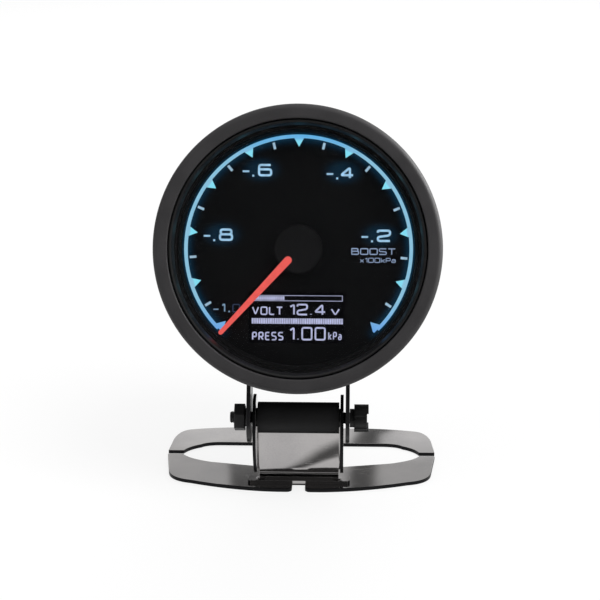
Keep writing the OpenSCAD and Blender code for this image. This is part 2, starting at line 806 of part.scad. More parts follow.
module board_screws() {
    color([0.6, 0.6, 0.6]) on_head()
        for (x = [-1, 1], y = [-1, 1]) translate([x * boss_at.x, y * boss_at.y, -shoulder_z]) {
            cylinder(r = board_screw_r, h = board_screw_len);
            translate([0, 0, -board_head_t]) cylinder(r = board_head_r, h = board_head_t);
        }
}

module rear_board() {
    color([0.05, 0.3, 0.15]) on_head() ring(rear_board_r, 0, rear_board_z, rear_board_z + rear_board_t);
}

module board_link() {
    color([0.06, 0.06, 0.06]) on_head() translate([header_at.x - header_size.x / 2,
        header_at.y - header_size.y / 2, -rear_board_z])
        cube([header_size.x, header_size.y, board_pitch]);
}

// Plug socket on the rear board, open to the rear, with its pins
module socket(at, size, pins) {
    depth = cover_z + cover_t + socket_over - rear_board_z - rear_board_t;
    translate([at.x, at.y, -rear_board_z - rear_board_t - depth]) {
        difference() {
            translate([-size.x / 2, -size.y / 2, 0]) cube([size.x, size.y, depth]);
            translate([socket_wall - size.x / 2, socket_wall - size.y / 2, -cut])
                cube([size.x - 2 * socket_wall, size.y - 2 * socket_wall, socket_deep + cut]);
        }
        for (i = [1:pins]) translate([size.x * (i / (pins + 1) - 0.5) - pin_w / 2, -pin_w / 2, socket_wall])
            cube([pin_w, pin_w, socket_deep]);
    }
}

module power_socket() {
    color([0.8, 0.78, 0.7]) on_head() socket(power_at, power_size, 4);
}

module sensor_socket() {
    color([0.8, 0.78, 0.7]) on_head() socket(sensor_at, sensor_size, 3);
}

module rear_cover() {
    color([0.08, 0.08, 0.09]) on_head() difference() {
        union() {
            ring(cover_r, 0, cover_z, can_end);
            for (i = [0:2]) rotate([0, 0, post_turn + 120 * i]) translate([post_at, 0, -can_end])
                cylinder(r = post_r, h = cover_t + post_h);
        }
        for (plug = [[power_at, power_size], [sensor_at, sensor_size]])
            translate([plug[0].x - plug[1].x / 2 - can_gap, plug[0].y - plug[1].y / 2 - can_gap,
                -can_end - cut])
                cube([plug[1].x + 2 * can_gap, plug[1].y + 2 * can_gap, cover_t + 2 * cut]);
        for (i = [0:2]) rotate([0, 0, cover_turn + 120 * i]) translate([cover_boss_at, 0, -can_end - cut])
            cylinder(r = cover_screw_r + seat_gap, h = cover_t + 2 * cut);
    }
}

module cover_screws() {
    color([0.5, 0.5, 0.5]) on_head()
        for (i = [0:2]) rotate([0, 0, cover_turn + 120 * i]) translate([cover_boss_at, 0, -can_end]) {
            cylinder(r = cover_screw_r, h = cover_screw_len);
            translate([0, 0, -cover_head_t]) cylinder(r = cover_head_r, h = cover_head_t);
        }
}

base_plate();
foot_rivets();
hinge_bracket();
spacer_tube();
rubber_sleeve();
clamp_screw();
clamp_knob();
knob_washer();
nut_washer();
lock_nut();
cup_bracket();
bracket_screws();
mounting_cup();
seat_gasket();
grip_band();
gauge_bezel();
lens();
lens_gasket();
trim_ring();
dial_plate();
scale_ring();
scale_ticks();
needle_blade();
needle_cap();
needle_shaft();
light_housing();
display_glass();
display_carrier();
main_board();
scale_lamps();
stepper_motor();
control_chip();
driver_chips();
board_screws();
rear_board();
board_link();
power_socket();
sensor_socket();
gauge_can();
rear_cover();
cover_screws();
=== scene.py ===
"""Round dial gauge in a moulded cup on a tilting stand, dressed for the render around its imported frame.

Sizes in the classes are millimetres, as in the part's source, and the studio is laid out in metres.
Everything handed to Blender is in metres.
"""

import logging
import math
from dataclasses import dataclass
from enum import Enum
from typing import Callable, Optional, Sequence

import bmesh
import bpy
from mathutils import Matrix, Vector


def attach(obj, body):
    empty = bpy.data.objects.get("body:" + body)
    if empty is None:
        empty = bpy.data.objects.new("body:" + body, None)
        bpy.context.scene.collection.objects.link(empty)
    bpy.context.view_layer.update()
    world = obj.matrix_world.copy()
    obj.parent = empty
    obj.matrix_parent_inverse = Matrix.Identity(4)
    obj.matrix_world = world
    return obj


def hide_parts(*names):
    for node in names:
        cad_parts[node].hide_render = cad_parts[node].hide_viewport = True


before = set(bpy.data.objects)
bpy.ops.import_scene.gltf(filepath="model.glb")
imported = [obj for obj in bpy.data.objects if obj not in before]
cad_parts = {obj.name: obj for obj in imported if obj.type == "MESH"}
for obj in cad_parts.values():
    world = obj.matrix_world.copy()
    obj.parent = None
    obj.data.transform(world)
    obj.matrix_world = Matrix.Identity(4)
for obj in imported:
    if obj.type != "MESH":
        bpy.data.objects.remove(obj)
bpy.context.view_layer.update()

MM = 0.001
log = logging.getLogger("gauge")

Colour = tuple[float, float, float]
Point2 = tuple[float, float]
Point3 = tuple[float, float, float]
Box = tuple[float, float, float, float]
Socket = bpy.types.NodeSocket
Material = bpy.types.Material
Piece = bpy.types.Object
BLACK: Colour = (0.0, 0.0, 0.0)
WHITE: Colour = (1.0, 1.0, 1.0)


class Body(Enum):
    """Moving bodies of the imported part."""

    STAND = "stand"
    CLAMP = "clamp"
    HEAD = "head"
    NEEDLE = "needle"


class Rough(Enum):
    """How rough a moulded, painted or plated surface is."""

    POLISHED = 0.3
    PAINTED = 0.32
    SATIN = 0.42
    MATTE = 0.6
    DRY = 0.85


class Plane(Enum):
    """Which place of a point, of x, y and z, stays the same all over a flat card."""

    SIDE = 0
    WALL = 1
    GROUND = 2


# Frames of reference


@dataclass(frozen=True)
class Stand:
    """Places on the stand that the head and the screw share."""

    pivot_y: float = -22.0
    pivot_z: float = 19.0
    rise: float = 42.2
    reach: float = 20.0
    lean: float = 14.5

    def pivot(self) -> Matrix:
        """Frame at the tilt axis, in millimetres."""
        return Matrix.Translation((0, self.pivot_y, self.pivot_z))

    def head(self) -> Matrix:
        """Frame of the cup: Z runs out of the dial and the rim plane is at zero."""
        turn = Matrix.Rotation(math.radians(90 - self.lean), 4, "X")
        return self.pivot() @ turn @ Matrix.Translation((0, self.rise, self.reach))

    def axle(self) -> Matrix:
        """Frame of the screw: Z runs along the tilt axis to the right."""
        return self.pivot() @ Matrix.Rotation(math.radians(90), 4, "Y")


STAND = Stand()
HEAD = STAND.head()
# Heights of the dial and of the display's glass in the cup's frame, and how far their print stands out
DIAL_LEVEL = -9.0
SCREEN_LEVEL = -9.9
PRINT_T = 0.04


def scaled(matrix: Matrix) -> Matrix:
    """Turns a frame in millimetres into one that takes millimetres to metres."""
    return Matrix.Scale(MM, 4) @ matrix


# Shader trees


class Tree:
    """Short way to build a node tree of a material, group or world."""

    def __init__(self, tree: bpy.types.NodeTree) -> None:
        """Keeps the tree and empties it."""
        self.tree = tree
        tree.nodes.clear()

    def add(self, kind: str, inputs: Optional[dict] = None, **values: object) -> bpy.types.Node:
        """Adds a node.

        Args:
            kind: The node's type name.
            inputs: Socket names or places, with a value or a socket to link.
            values: Properties set on the node itself.

        Returns:
            The new node.
        """
        node = self.tree.nodes.new(kind)
        for name, value in values.items():
            setattr(node, name, value)
        for name, value in (inputs or {}).items():
            self.feed(node.inputs[name], value)
        return node

    def feed(self, socket: Socket, value: object) -> None:
        """Links a socket or sets its value.

        Args:
            socket: The socket.
            value: A socket to link to it, a colour, or another value that it takes.
        """
        if isinstance(value, Socket):
            self.tree.links.new(value, socket)
        elif isinstance(value, tuple) and len(value) == 3 and socket.type == "RGBA":
            socket.default_value = (*value, 1.0)
        else:
            socket.default_value = value

    def math(self, operation: str, *values: object) -> Socket:
        """Adds a math node.

        Args:
            operation: What it does.
            values: The values or sockets that it works on.

        Returns:
            Its result.
        """
        node = self.add("ShaderNodeMath", operation=operation)
        for socket, value in zip(node.inputs, values):
            self.feed(socket, value)
        return node.outputs[0]

    def times(self, one: object, two: object) -> Socket:
        """Product of two values."""
        return self.math("MULTIPLY", one, two)

    def plus(self, one: object, two: object) -> Socket:
        """Sum of two values."""
        return self.math("ADD", one, two)

    def less(self, one: object, two: object) -> Socket:
        """First value less the second."""
        return self.math("SUBTRACT", one, two)

    def larger(self, one: object, two: object) -> Socket:
        """Larger of two values."""
        return self.math("MAXIMUM", one, two)

    def size(self, value: object) -> Socket:
        """Value without its sign."""
        return self.math("ABSOLUTE", value)

    def square(self, value: object) -> Socket:
        """Square of a value."""
        return self.math("POWER", value, 2.0)

    def bell(self, value: object) -> Socket:
        """Soft hump that is one where the value is nothing."""
        return self.math("EXPONENT", self.times(self.square(value), -1.0))

    def offset(self, value: object, centre: float, unit: float) -> Socket:
        """Distance of a place in metres from a centre, counted in a unit, both in millimetres."""
        return self.math("DIVIDE", self.less(value, centre * MM), unit * MM)

    def blend(self, factor: object, one: object, two: object) -> Socket:
        """Mixes two colours.

        Args:
            factor: Share of the second colour.
            one: First colour.
            two: Second colour.

        Returns:
            The mixed colour.
        """
        node = self.add("ShaderNodeMix", data_type="RGBA", blend_type="MIX")
        for place, value in ((0, factor), (6, one), (7, two)):
            self.feed(node.inputs[place], value)
        return node.outputs[2]

    def spread(self, value: object, ends: Point2, unit: float = 1.0, results: Point2 = (0.0, 1.0)) -> Socket:
        """Maps a value smoothly from one range to another.

        Args:
            value: The value.
            ends: Start and end of its range.
            unit: What the ends are counted in.
            results: Result at the start and at the end.

        Returns:
            The result.
        """
        ranges = {"Value": value, "From Min": ends[0] * unit, "From Max": ends[1] * unit,
                  "To Min": results[0], "To Max": results[1]}
        return self.add("ShaderNodeMapRange", ranges, interpolation_type="SMOOTHSTEP").outputs[0]

    def fall(self, value: object, ends: Point2, unit: float = 1.0) -> Socket:
        """Mask that shrinks from one to nothing between two ends."""
        return self.spread(value, ends, unit, (1.0, 0.0))

    def noise(self, vector: object, scale: float, detail: float = 2.0) -> Socket:
        """Value of a noise texture."""
        sizes = {"Vector": vector, "Scale": scale, "Detail": detail}
        return self.add("ShaderNodeTexNoise", sizes).outputs["Fac"]

    def parts(self, vector: object) -> Sequence[Socket]:
        """The x, y and z of a vector."""
        return self.add("ShaderNodeSeparateXYZ", {"Vector": vector}).outputs

    def seen(self) -> Socket:
        """One where the eye, a mirror or glass looks, and nothing where light bounces.

        Returns:
            The mask.
        """
        path = self.add("ShaderNodeLightPath").outputs
        bent = self.larger(path["Is Glossy Ray"], path["Is Transmission Ray"])
        return self.larger(path["Is Camera Ray"], bent)

    def mixed(self, share: object, one: Socket, two: Socket) -> Socket:
        """Mixes two shaders by the share of the second."""
        return self.add("ShaderNodeMixShader", {0: share, 1: one, 2: two}).outputs[0]


class Group(Tree):
    """Node group with named inputs and outputs."""

    def __init__(self, name: str, kind: str, inputs: dict[str, str], outputs: dict[str, str]) -> None:
        """Makes the group.

        Args:
            name: Its name.
            kind: Its tree type.
            inputs: Name of each input with its kind of socket.
            outputs: Name of each output with its kind of socket.
        """
        super().__init__(bpy.data.node_groups.new(name, kind))
        for way, sockets in (("INPUT", inputs), ("OUTPUT", outputs)):
            for label, sort in sockets.items():
                self.tree.interface.new_socket(name=label, in_out=way, socket_type="NodeSocket" + sort)
        self.ins = self.add("NodeGroupInput").outputs
        self.outs = self.add("NodeGroupOutput").inputs

    def give(self, name: str, value: Socket) -> None:
        """Puts a value out."""
        self.feed(self.outs[name], value)


@dataclass
class Effects:
    """Node groups that several finishes share, built once."""

    cell_share: float = 0.6
    speckle: float = 2600.0
    speckle_share: float = 0.25
    drift_ends: Point2 = (0.3, 0.7)
    line_stretch: Point3 = (1.0, 24.0, 24.0)
    line_scale: float = 260.0
    line_ends: Point2 = (0.62, 0.72)
    patch_scale: float = 90.0
    patch_ends: Point2 = (0.45, 0.65)

    def __post_init__(self) -> None:
        """Builds the groups."""
        self.grain, self.drift, self.scratches = self.grain_tree(), self.drift_tree(), self.scratch_tree()

    def grain_tree(self) -> bpy.types.NodeTree:
        """Fine cellular grain of a moulded skin.

        Returns:
            A group with the inputs Vector and Scale and the output Height.
        """
        tree = Group("moulded_grain", "ShaderNodeTree", {"Vector": "Vector", "Scale": "Float"},
                     {"Height": "Float"})
        where = {"Vector": tree.ins["Vector"], "Scale": tree.ins["Scale"]}
        cells = tree.add("ShaderNodeTexVoronoi", where).outputs["Distance"]
        fine = tree.add("ShaderNodeTexNoise", where).outputs["Fac"]
        tree.give("Height", tree.plus(tree.times(cells, self.cell_share), fine))
        return tree.tree

    def drift_tree(self) -> bpy.types.NodeTree:
        """Slow drift between two tones, with a little fine speckle.

        Returns:
            A group with the inputs Vector, Scale, First and Second and the outputs Mask and Colour.
        """
        tree = Group("tone_drift", "ShaderNodeTree",
                     {"Vector": "Vector", "Scale": "Float", "First": "Color", "Second": "Color"},
                     {"Mask": "Float", "Colour": "Color"})
        where = tree.ins["Vector"]
        slow = tree.add("ShaderNodeTexNoise", {"Vector": where, "Scale": tree.ins["Scale"]}).outputs["Fac"]
        slow = tree.times(slow, 1.0 - self.speckle_share)
        fast = tree.times(tree.noise(where, self.speckle), self.speckle_share)
        mask = tree.spread(tree.plus(slow, fast), self.drift_ends)
        tree.give("Mask", mask)
        tree.give("Colour", tree.blend(mask, tree.ins["First"], tree.ins["Second"]))
        return tree.tree

    def scratch_tree(self) -> bpy.types.NodeTree:
        """Thin rubbed lines that run one way, in patches.

        Returns:
            A group with the inputs Vector and Amount and the output Mask.
        """
        tree = Group("rubbed_lines", "ShaderNodeTree", {"Vector": "Vector", "Amount": "Float"},
                     {"Mask": "Float"})
        where = tree.ins["Vector"]
        drawn = tree.add("ShaderNodeMapping", {"Vector": where, "Scale": self.line_stretch}).outputs[0]
        lines = tree.spread(tree.noise(drawn, self.line_scale), self.line_ends)
        patches = tree.spread(tree.noise(where, self.patch_scale), self.patch_ends)
        tree.give("Mask", tree.times(tree.times(lines, patches), tree.ins["Amount"]))
        return tree.tree


EFFECTS = Effects()


class Surface(Tree):
    """Tree of one material."""

    def __init__(self, name: str) -> None:
        """Makes the material under its name.

        Args:
            name: The name.
        """
        self.material = bpy.data.materials.new(name)
        self.material.use_nodes = True
        super().__init__(self.material.node_tree)

    def close(self, shader: Socket) -> Material:
        """Ends the tree in a shader and gives back the material."""
        self.add("ShaderNodeOutputMaterial", {"Surface": shader})
        return self.material


class Shader(Surface):
    """Tree of one material with a Principled surface, which reads the object's own coordinates."""

    def __init__(self, name: str) -> None:
        """Makes the material and its surface.

        Args:
            name: The material's name.
        """
        super().__init__(name)
        self.place = self.add("ShaderNodeTexCoord").outputs["Object"]
        self.surface = self.add("ShaderNodeBsdfPrincipled")
        self.close(self.surface.outputs[0])

    def group(self, tree: bpy.types.NodeTree, **inputs: object) -> bpy.types.NodeOutputs:
        """Places a node group with its own values and gives its outputs."""
        return self.add("ShaderNodeGroup", {"Vector": self.place, **inputs}, node_tree=tree).outputs

    def paint(self, **sockets: object) -> None:
        """Sets sockets of the surface, with underscores for the spaces in their names."""
        for name, value in sockets.items():
            self.feed(self.surface.inputs[name.replace("_", " ")], value)

    def bump(self, height: object, strength: float, depth: float) -> None:
        """Feeds a height to the surface's normal."""
        node = self.add("ShaderNodeBump", {"Height": height, "Strength": strength, "Distance": depth})
        self.feed(self.surface.inputs["Normal"], node.outputs[0])


# Finishes


def dimmed(colour: Colour, share: float) -> Colour:
    """Colour brought down to a share of itself."""
    return tuple(part * share for part in colour)


@dataclass(frozen=True)
class Moulded:
    """Moulded, painted or plated skin with a fine grain and a slow drift of tone."""

    name: str
    colour: Colour
    rough: Rough = Rough.MATTE
    gloss: float = 0.3
    grain: float = 2400.0
    relief: float = 0.00002
    metal: float = 0.0
    drift: float = 0.8
    drift_scale: float = 140.0
    uneven: float = 0.1
    rubbed: float = 0.5
    polish: float = 0.12

    def build(self) -> Material:
        """Makes the material.

        Returns:
            The material.
        """
        shader = Shader(self.name)
        tone = shader.group(EFFECTS.drift, Scale=self.drift_scale, First=dimmed(self.colour, self.drift),
                            Second=self.colour)
        rub = shader.group(EFFECTS.scratches, Amount=self.rubbed)["Mask"]
        rough = shader.plus(shader.times(tone["Mask"], self.uneven), self.rough.value - self.uneven / 2)
        shader.paint(Base_Color=tone["Colour"], Roughness=shader.less(rough, shader.times(rub, self.polish)),
                     Specular_IOR_Level=self.gloss, Metallic=self.metal)
        shader.bump(shader.group(EFFECTS.grain, Scale=self.grain)["Height"], strength=0.35, depth=self.relief)
        return shader.material


@dataclass(frozen=True)
class PlatedSheet:
    """Dark mirror plating on pressed sheet, with faint waves from the pressing, and rougher cut edges with
    near-black painted shade that stands for their dark reflections and hides their glints.

    The sheet lies flat, or stands upright and has flanges whose faces look sideways beyond the flange width.
    A slope is how far a face looks up or sideways, and between a pair of slopes a mask of the edge changes.
    """

    name: str
    flange: Optional[float] = None
    foot_top: float = 1.85
    flat_slopes: Point2 = (0.72, 0.96)
    flange_slopes: Point2 = (0.35, 0.85)
    foot_slopes: Point2 = (0.2, 0.5)
    bright: Colour = (0.44, 0.425, 0.42)
    dim: Colour = (0.36, 0.35, 0.35)
    drift_scale: float = 70.0
    # Painted shade of the cut edges: near-black in place of their dark reflections and glints
    edge: Colour = (0.016, 0.016, 0.017)
    edge_rough: float = 0.42
    rough: float = 0.07
    rubbed: float = 0.22
    rub_depth: float = 0.02
    wave_scale: float = 45.0
    wave_depth: float = 0.0004

    def cut_edge_shade(self, shader: Shader) -> Socket:
        """Finds the sheared edges, and on the hinge the sideways ends of its foot, that take painted shade,
        from the way the surface faces.

        Args:
            shader: The material's tree.

        Returns:
            Their mask.
        """
        ways = shader.parts(shader.add("ShaderNodeTexCoord").outputs["Normal"])
        if self.flange is None:
            return shader.fall(shader.size(ways[2]), self.flat_slopes)
        sideways, places = shader.size(ways[0]), shader.parts(shader.place)
        beyond = shader.spread(shader.size(places[0]), (self.flange - 0.1, self.flange + 0.05), MM)
        upper = shader.spread(places[2], (self.foot_top, self.foot_top + 0.1), MM)
        foot_end = shader.times(shader.less(1.0, upper), shader.spread(sideways, self.foot_slopes))
        flange_edge = shader.times(shader.fall(sideways, self.flange_slopes), beyond)
        return shader.larger(shader.times(flange_edge, upper), foot_end)

    def build(self) -> Material:
        """Makes the material.

        Returns:
            The material.
        """
        shader = Shader(self.name)
        tone = shader.group(EFFECTS.drift, Scale=self.drift_scale, First=self.dim, Second=self.bright)
        rub = shader.group(EFFECTS.scratches, Amount=self.rubbed)["Mask"]
        # Cut edges: rougher as sheared steel is, and darkened with painted shade that hides their glints
        edge = self.cut_edge_shade(shader)
        rough = shader.plus(shader.plus(rub, self.rough), shader.times(edge, self.edge_rough))
        shader.paint(Base_Color=shader.blend(edge, tone["Colour"], self.edge), Metallic=1.0, Roughness=rough)
        waves = shader.noise(shader.place, self.wave_scale, 1.0)
        height = shader.plus(waves, shader.times(rub, self.rub_depth))
        shader.bump(height, strength=0.25, depth=self.wave_depth)
        return shader.material


def dial_place(shader: Shader) -> tuple[Socket, Socket, Socket]:
    """Place on the dial, seen straight on.

    Args:
        shader: The material's tree.

    Returns:
        Distance to the right of the dial's middle, distance above it, and distance from it, in metres.
    """
    middle = tuple(scaled(HEAD) @ Vector((0, 0, DIAL_LEVEL)))
    upright = (math.radians(STAND.lean - 90), 0.0, 0.0)
    back = shader.add("ShaderNodeVectorMath", {0: shader.place, 1: middle}, operation="SUBTRACT").outputs[0]
    turn = {"Vector": back, "Rotation": upright}
    flat = shader.add("ShaderNodeVectorRotate", turn, rotation_type="EULER_XYZ").outputs[0]
    right, above, _ = shader.parts(flat)
    return right, above, shader.math("SQRT", shader.plus(shader.square(right), shader.square(above)))


@dataclass(frozen=True)
class LitGuide:
    """Lit light guide of the scale: paler at its sides, a deeper blue at the top, and brighter pointer marks.

    A fade is a pair of heights above the ground, and the marks lie inside a ring around the dial's middle.
    """

    name: str
    foot_fade: Point2 = (40.0, 52.0)
    top_fade: Point2 = (83.0, 92.5)
    mark_start: Point2 = (46.0, 56.0)
    mark_end: Point2 = (87.5, 89.5)
    mark_ring: Point2 = (26.5, 27.0)
    mark: Colour = (0.24, 0.80, 0.97)
    side: Colour = (0.27, 0.57, 0.77)
    top: Colour = (0.055, 0.42, 0.88)
    foot: Colour = (0.12, 0.36, 0.86)
    unlit: Colour = (0.01, 0.02, 0.03)
    speck: Colour = (0.5, 0.8, 1.0)
    speck_scale: float = 500.0
    speck_ends: Point2 = (0.35, 0.75)
    speck_share: float = 0.12
    glow: float = 0.95

    def build(self) -> Material:
        """Makes the material.

        Returns:
            The material.
        """
        shader = Shader(self.name)
        level = shader.parts(shader.place)[2]
        colour = shader.blend(shader.spread(level, self.foot_fade, MM), self.foot, self.side)
        colour = shader.blend(shader.spread(level, self.top_fade, MM), colour, self.top)
        band = shader.times(shader.spread(level, self.mark_start, MM), shader.fall(level, self.mark_end, MM))
        inside = shader.fall(dial_place(shader)[2], self.mark_ring, MM)
        colour = shader.blend(shader.times(inside, band), colour, self.mark)
        specks = shader.noise(shader.place, self.speck_scale)
        specks = shader.spread(specks, self.speck_ends, results=(0.0, self.speck_share))
        shader.paint(Base_Color=self.unlit, Emission_Color=shader.blend(specks, colour, self.speck),
                     Emission_Strength=self.glow, Roughness=0.4, Specular_IOR_Level=0.1)
        return shader.material


@dataclass(frozen=True)
class LitPrint:
    """Lit print or lit plastic of one colour with a slight unevenness."""

    name: str
    colour: Colour
    glow: float = 0.8
    dim: float = 0.72
    unlit: float = 0.1
    speck_scale: float = 700.0
    speck_ends: Point2 = (0.3, 0.7)

    def build(self) -> Material:
        """Makes the material.

        Returns:
            The material.
        """
        shader = Shader(self.name)
        specks = shader.spread(shader.noise(shader.place, self.speck_scale), self.speck_ends)
        lit = shader.blend(specks, dimmed(self.colour, self.dim), self.colour)
        shader.paint(Base_Color=dimmed(self.colour, self.unlit), Emission_Color=lit,
                     Emission_Strength=self.glow, Roughness=0.5, Specular_IOR_Level=0.1)
        return shader.material


@dataclass(frozen=True)
class DialFace:
    """Near-black printed dial with the blue glow of the scale on both sides of it and of the numbers painted
    onto it as emission.

    The ring ends between two angles from the top, in radians.
    """

    name: str
    ring: float = 27.45
    reach: float = 1.3
    ring_end: Point2 = (2.30, 2.50)
    colour: Colour = (0.0035, 0.0035, 0.0038)
    dim: Colour = (0.0028, 0.0028, 0.0032)
    painted_halo: Colour = (0.0015, 0.026, 0.056)
    numbers: tuple[Point2, ...] = ((-9.2, 19.3), (10.7, 18.8), (-18.6, 3.5), (19.9, 3.5))
    spot_size: Point2 = (4.0, 2.6)
    spot_glow: float = 0.55

    def spot(self, shader: Shader, right: Socket, above: Socket, centre: Point2) -> Socket:
        """Finds the painted soft glow around one lit number.

        Args:
            shader: The material's tree.
            right: Distance to the right of the dial's middle.
            above: Distance above it.
            centre: Middle of the number.

        Returns:
            Mask of the glow.
        """
        over = shader.offset(right, centre[0], self.spot_size[0])
        up = shader.offset(above, centre[1], self.spot_size[1])
        away = shader.plus(shader.square(over), shader.square(up))
        return shader.times(shader.bell(away), self.spot_glow)

    def build(self) -> Material:
        """Makes the material.

        Returns:
            The material.
        """
        shader = Shader(self.name)
        right, above, radius = dial_place(shader)
        angle = shader.size(shader.math("ARCTAN2", right, above))
        # Painted light: the scale's blue glow along the ring and around each number is emission on the dial
        glow = shader.bell(shader.offset(radius, self.ring, self.reach))
        glow = shader.times(glow, shader.fall(angle, self.ring_end))
        for centre in self.numbers:
            glow = shader.larger(glow, self.spot(shader, right, above, centre))
        tone = shader.group(EFFECTS.drift, Scale=90.0, First=self.dim, Second=self.colour)["Colour"]
        shader.paint(Base_Color=tone, Roughness=0.8, Specular_IOR_Level=0.06,
                     Emission_Color=shader.blend(glow, BLACK, self.painted_halo), Emission_Strength=1.0)
        shader.bump(shader.group(EFFECTS.grain, Scale=3200.0)["Height"], strength=0.15, depth=0.00001)
        return shader.material


@dataclass(frozen=True)
class ClearLens:
    """Clear lens: nearly nothing straight on, and a gloss that grows at a slant."""

    name: str
    clear: float = 0.03
    slant: float = 0.55
    facing: Point2 = (0.35, 1.0)
    haze_scale: float = 60.0
    haze: float = 0.01
    tint: Colour = (0.02, 0.022, 0.024)

    def build(self) -> Material:
        """Makes the material.

        Returns:
            The material.
        """
        shader = Shader(self.name)
        facing = shader.add("ShaderNodeLayerWeight", {"Blend": 0.35}).outputs["Facing"]
        gloss = shader.spread(facing, self.facing, results=(self.clear, self.slant))
        haze = shader.times(shader.noise(shader.place, self.haze_scale), self.haze)
        shader.paint(Base_Color=self.tint, Roughness=0.03, Alpha=shader.plus(gloss, haze))
        return shader.material


@dataclass(frozen=True)
class SolderMask:
    """Green board with faint copper tracks under its mask."""

    name: str
    colour: Colour = (0.02, 0.12, 0.05)
    track: Colour = (0.05, 0.22, 0.09)
    track_scale: float = 260.0
    track_width: float = 0.03

    def build(self) -> Material:
        """Makes the material.

        Returns:
            The material.
        """
        shader = Shader(self.name)
        tracks = {"Vector": shader.place, "Scale": self.track_scale, "Mortar Size": self.track_width,
                  "Color1": BLACK, "Color2": BLACK, "Mortar": WHITE}
        lines = shader.add("ShaderNodeTexBrick", tracks).outputs
        shader.paint(Base_Color=shader.blend(lines["Color"], self.colour, self.track), Roughness=0.35)
        shader.bump(lines["Fac"], strength=0.2, depth=0.00002)
        return shader.material


class Finishes:
    """Finishes that the sub-assemblies share, built once."""

    def __init__(self) -> None:
        """Builds the materials."""
        fine, satin, dry = 0.00001, Rough.SATIN, Rough.DRY
        self.cup = Moulded("cup_skin", (0.030, 0.0285, 0.030), gloss=0.35).build()
        self.case = Moulded("case_skin", (0.012, 0.012, 0.0125), satin, 0.25, 3200.0, fine).build()
        self.black = Moulded("black_fitting", (0.008, 0.008, 0.008), satin, 0.3, 3000.0, fine).build()
        self.cap = Moulded("cap_skin", (0.0075, 0.0075, 0.0078), dry, 0.05, 3000.0, fine).build()
        self.rubber = Moulded("rubber_skin", (0.010, 0.010, 0.0105), gloss=0.2, grain=1800.0).build()
        self.steel = Moulded("black_plate", (0.010, 0.010, 0.0105), satin, 0.35, 2600.0, fine).build()
        self.bright = Moulded("bright_plate", (0.55, 0.55, 0.57), Rough.POLISHED, 0.5, 2600.0, fine,
                              metal=1.0).build()
        self.white = Moulded("white_moulding", (0.75, 0.75, 0.73), gloss=0.4).build()
        self.cream = Moulded("cream_moulding", (0.75, 0.72, 0.62), gloss=0.4).build()
        self.chip = Moulded("chip_body", (0.02, 0.02, 0.02), gloss=0.4).build()
        self.painted = Moulded("satin_paint", (0.010, 0.010, 0.011), Rough.PAINTED, 0.35, 1600.0,
                               fine).build()
        self.display = Moulded("display_face", (0.0028, 0.0028, 0.0036), dry, 0.03, 3000.0, 0.000004).build()
        self.board = SolderMask("board_mask").build()
        self.plated = PlatedSheet("plated_sheet").build()
        self.hinge = PlatedSheet("plated_hinge", 10.5).build()


# Mesh helpers

# Angle in degrees above which an edge between two faces stays sharp
SHARP_ANGLE = 30.0


def new_object(name: str, data: object) -> Piece:
    """Makes an object at the origin and links it to the scene.

    Args:
        name: Its name.
        data: Its mesh, lamp or camera.

    Returns:
        The new object.
    """
    made = bpy.data.objects.new(name, data)
    bpy.context.scene.collection.objects.link(made)
    return made


def finish_mesh(name: str, mesh: bpy.types.Mesh) -> Piece:
    """Links a mesh as an object with smooth faces and sharp edges.

    Args:
        name: Name of the piece.
        mesh: Its mesh, in place and in metres.

    Returns:
        The new object.
    """
    mesh.name = name
    for face in mesh.polygons:
        face.use_smooth = True
    mesh.set_sharp_from_angle(angle=math.radians(SHARP_ANGLE))
    return new_object(name, mesh)


def close_mesh(name: str, bm: bmesh.types.BMesh, outward: bool = False) -> Piece:
    """Turns an edited mesh into an object and frees it.

    Args:
        name: Name of the piece.
        bm: The mesh, in place and in metres.
        outward: Whether its faces are turned outwards first.

    Returns:
        The new object.
    """
    if outward:
        bmesh.ops.recalc_face_normals(bm, faces=bm.faces)
    mesh = bpy.data.meshes.new(name)
    bm.to_mesh(mesh)
    bm.free()
    return finish_mesh(name, mesh)


def lathe(name: str, outline: Sequence[Point2], at: Matrix, steps: int = 256,
          ripple: Optional[Callable[[float, float, float], float]] = None) -> Piece:
    """Turns an outline into a closed round piece.

    Args:
        name: Name of the piece.
        outline: Radius and height of each point, in millimetres, round the outside and back. An outline that
            starts and ends on the axis is closed there, and any other one is closed on itself.
        at: Frame in millimetres whose Z is the axis.
        steps: Number of sides.
        ripple: Changes a radius, given the radius, the height and the angle.

    Returns:
        The new object.
    """
    bm = bmesh.new()
    to_world = scaled(at)
    rings = []
    for radius, height in outline:
        if radius == 0:
            rings.append([bm.verts.new(to_world @ Vector((0, 0, height)))] * steps)
            continue
        ring = []
        for step in range(steps):
            angle = step * math.tau / steps
            size = ripple(radius, height, angle) if ripple else radius
            place = Vector((size * math.cos(angle), size * math.sin(angle), height))
            ring.append(bm.verts.new(to_world @ place))
        rings.append(ring)
    on_axis = outline[0][0] == 0 and outline[-1][0] == 0
    pairs = list(zip(rings, rings[1:])) + ([] if on_axis else [(rings[-1], rings[0])])
    for one, two in pairs:
        for step in range(steps):
            corners = [one[step - 1], one[step], two[step], two[step - 1]]
            unique = [corner for i, corner in enumerate(corners) if corner not in corners[:i]]
            if len(unique) > 2:
                bm.faces.new(unique)
    return close_mesh(name, bm, outward=True)


def arc(x: float, y: float, radius: float, start: float, end: float, steps: int) -> list[Point2]:
    """Points of an arc about a centre, from one angle to another in degrees."""
    angles = [math.radians(start + (end - start) * i / steps) for i in range(steps + 1)]
    return [(x + radius * math.cos(a), y + radius * math.sin(a)) for a in angles]


def curve(a: Point2, b: Point2, c: Point2, steps: int = 14) -> list[Point2]:
    """Points of a curve from a to c that leans towards b."""
    shares = [((1 - t) ** 2, 2 * t * (1 - t), t * t) for t in (i / steps for i in range(steps + 1))]
    return [tuple(f * p + g * q + h * r for p, q, r in zip(a, b, c)) for f, g, h in shares]


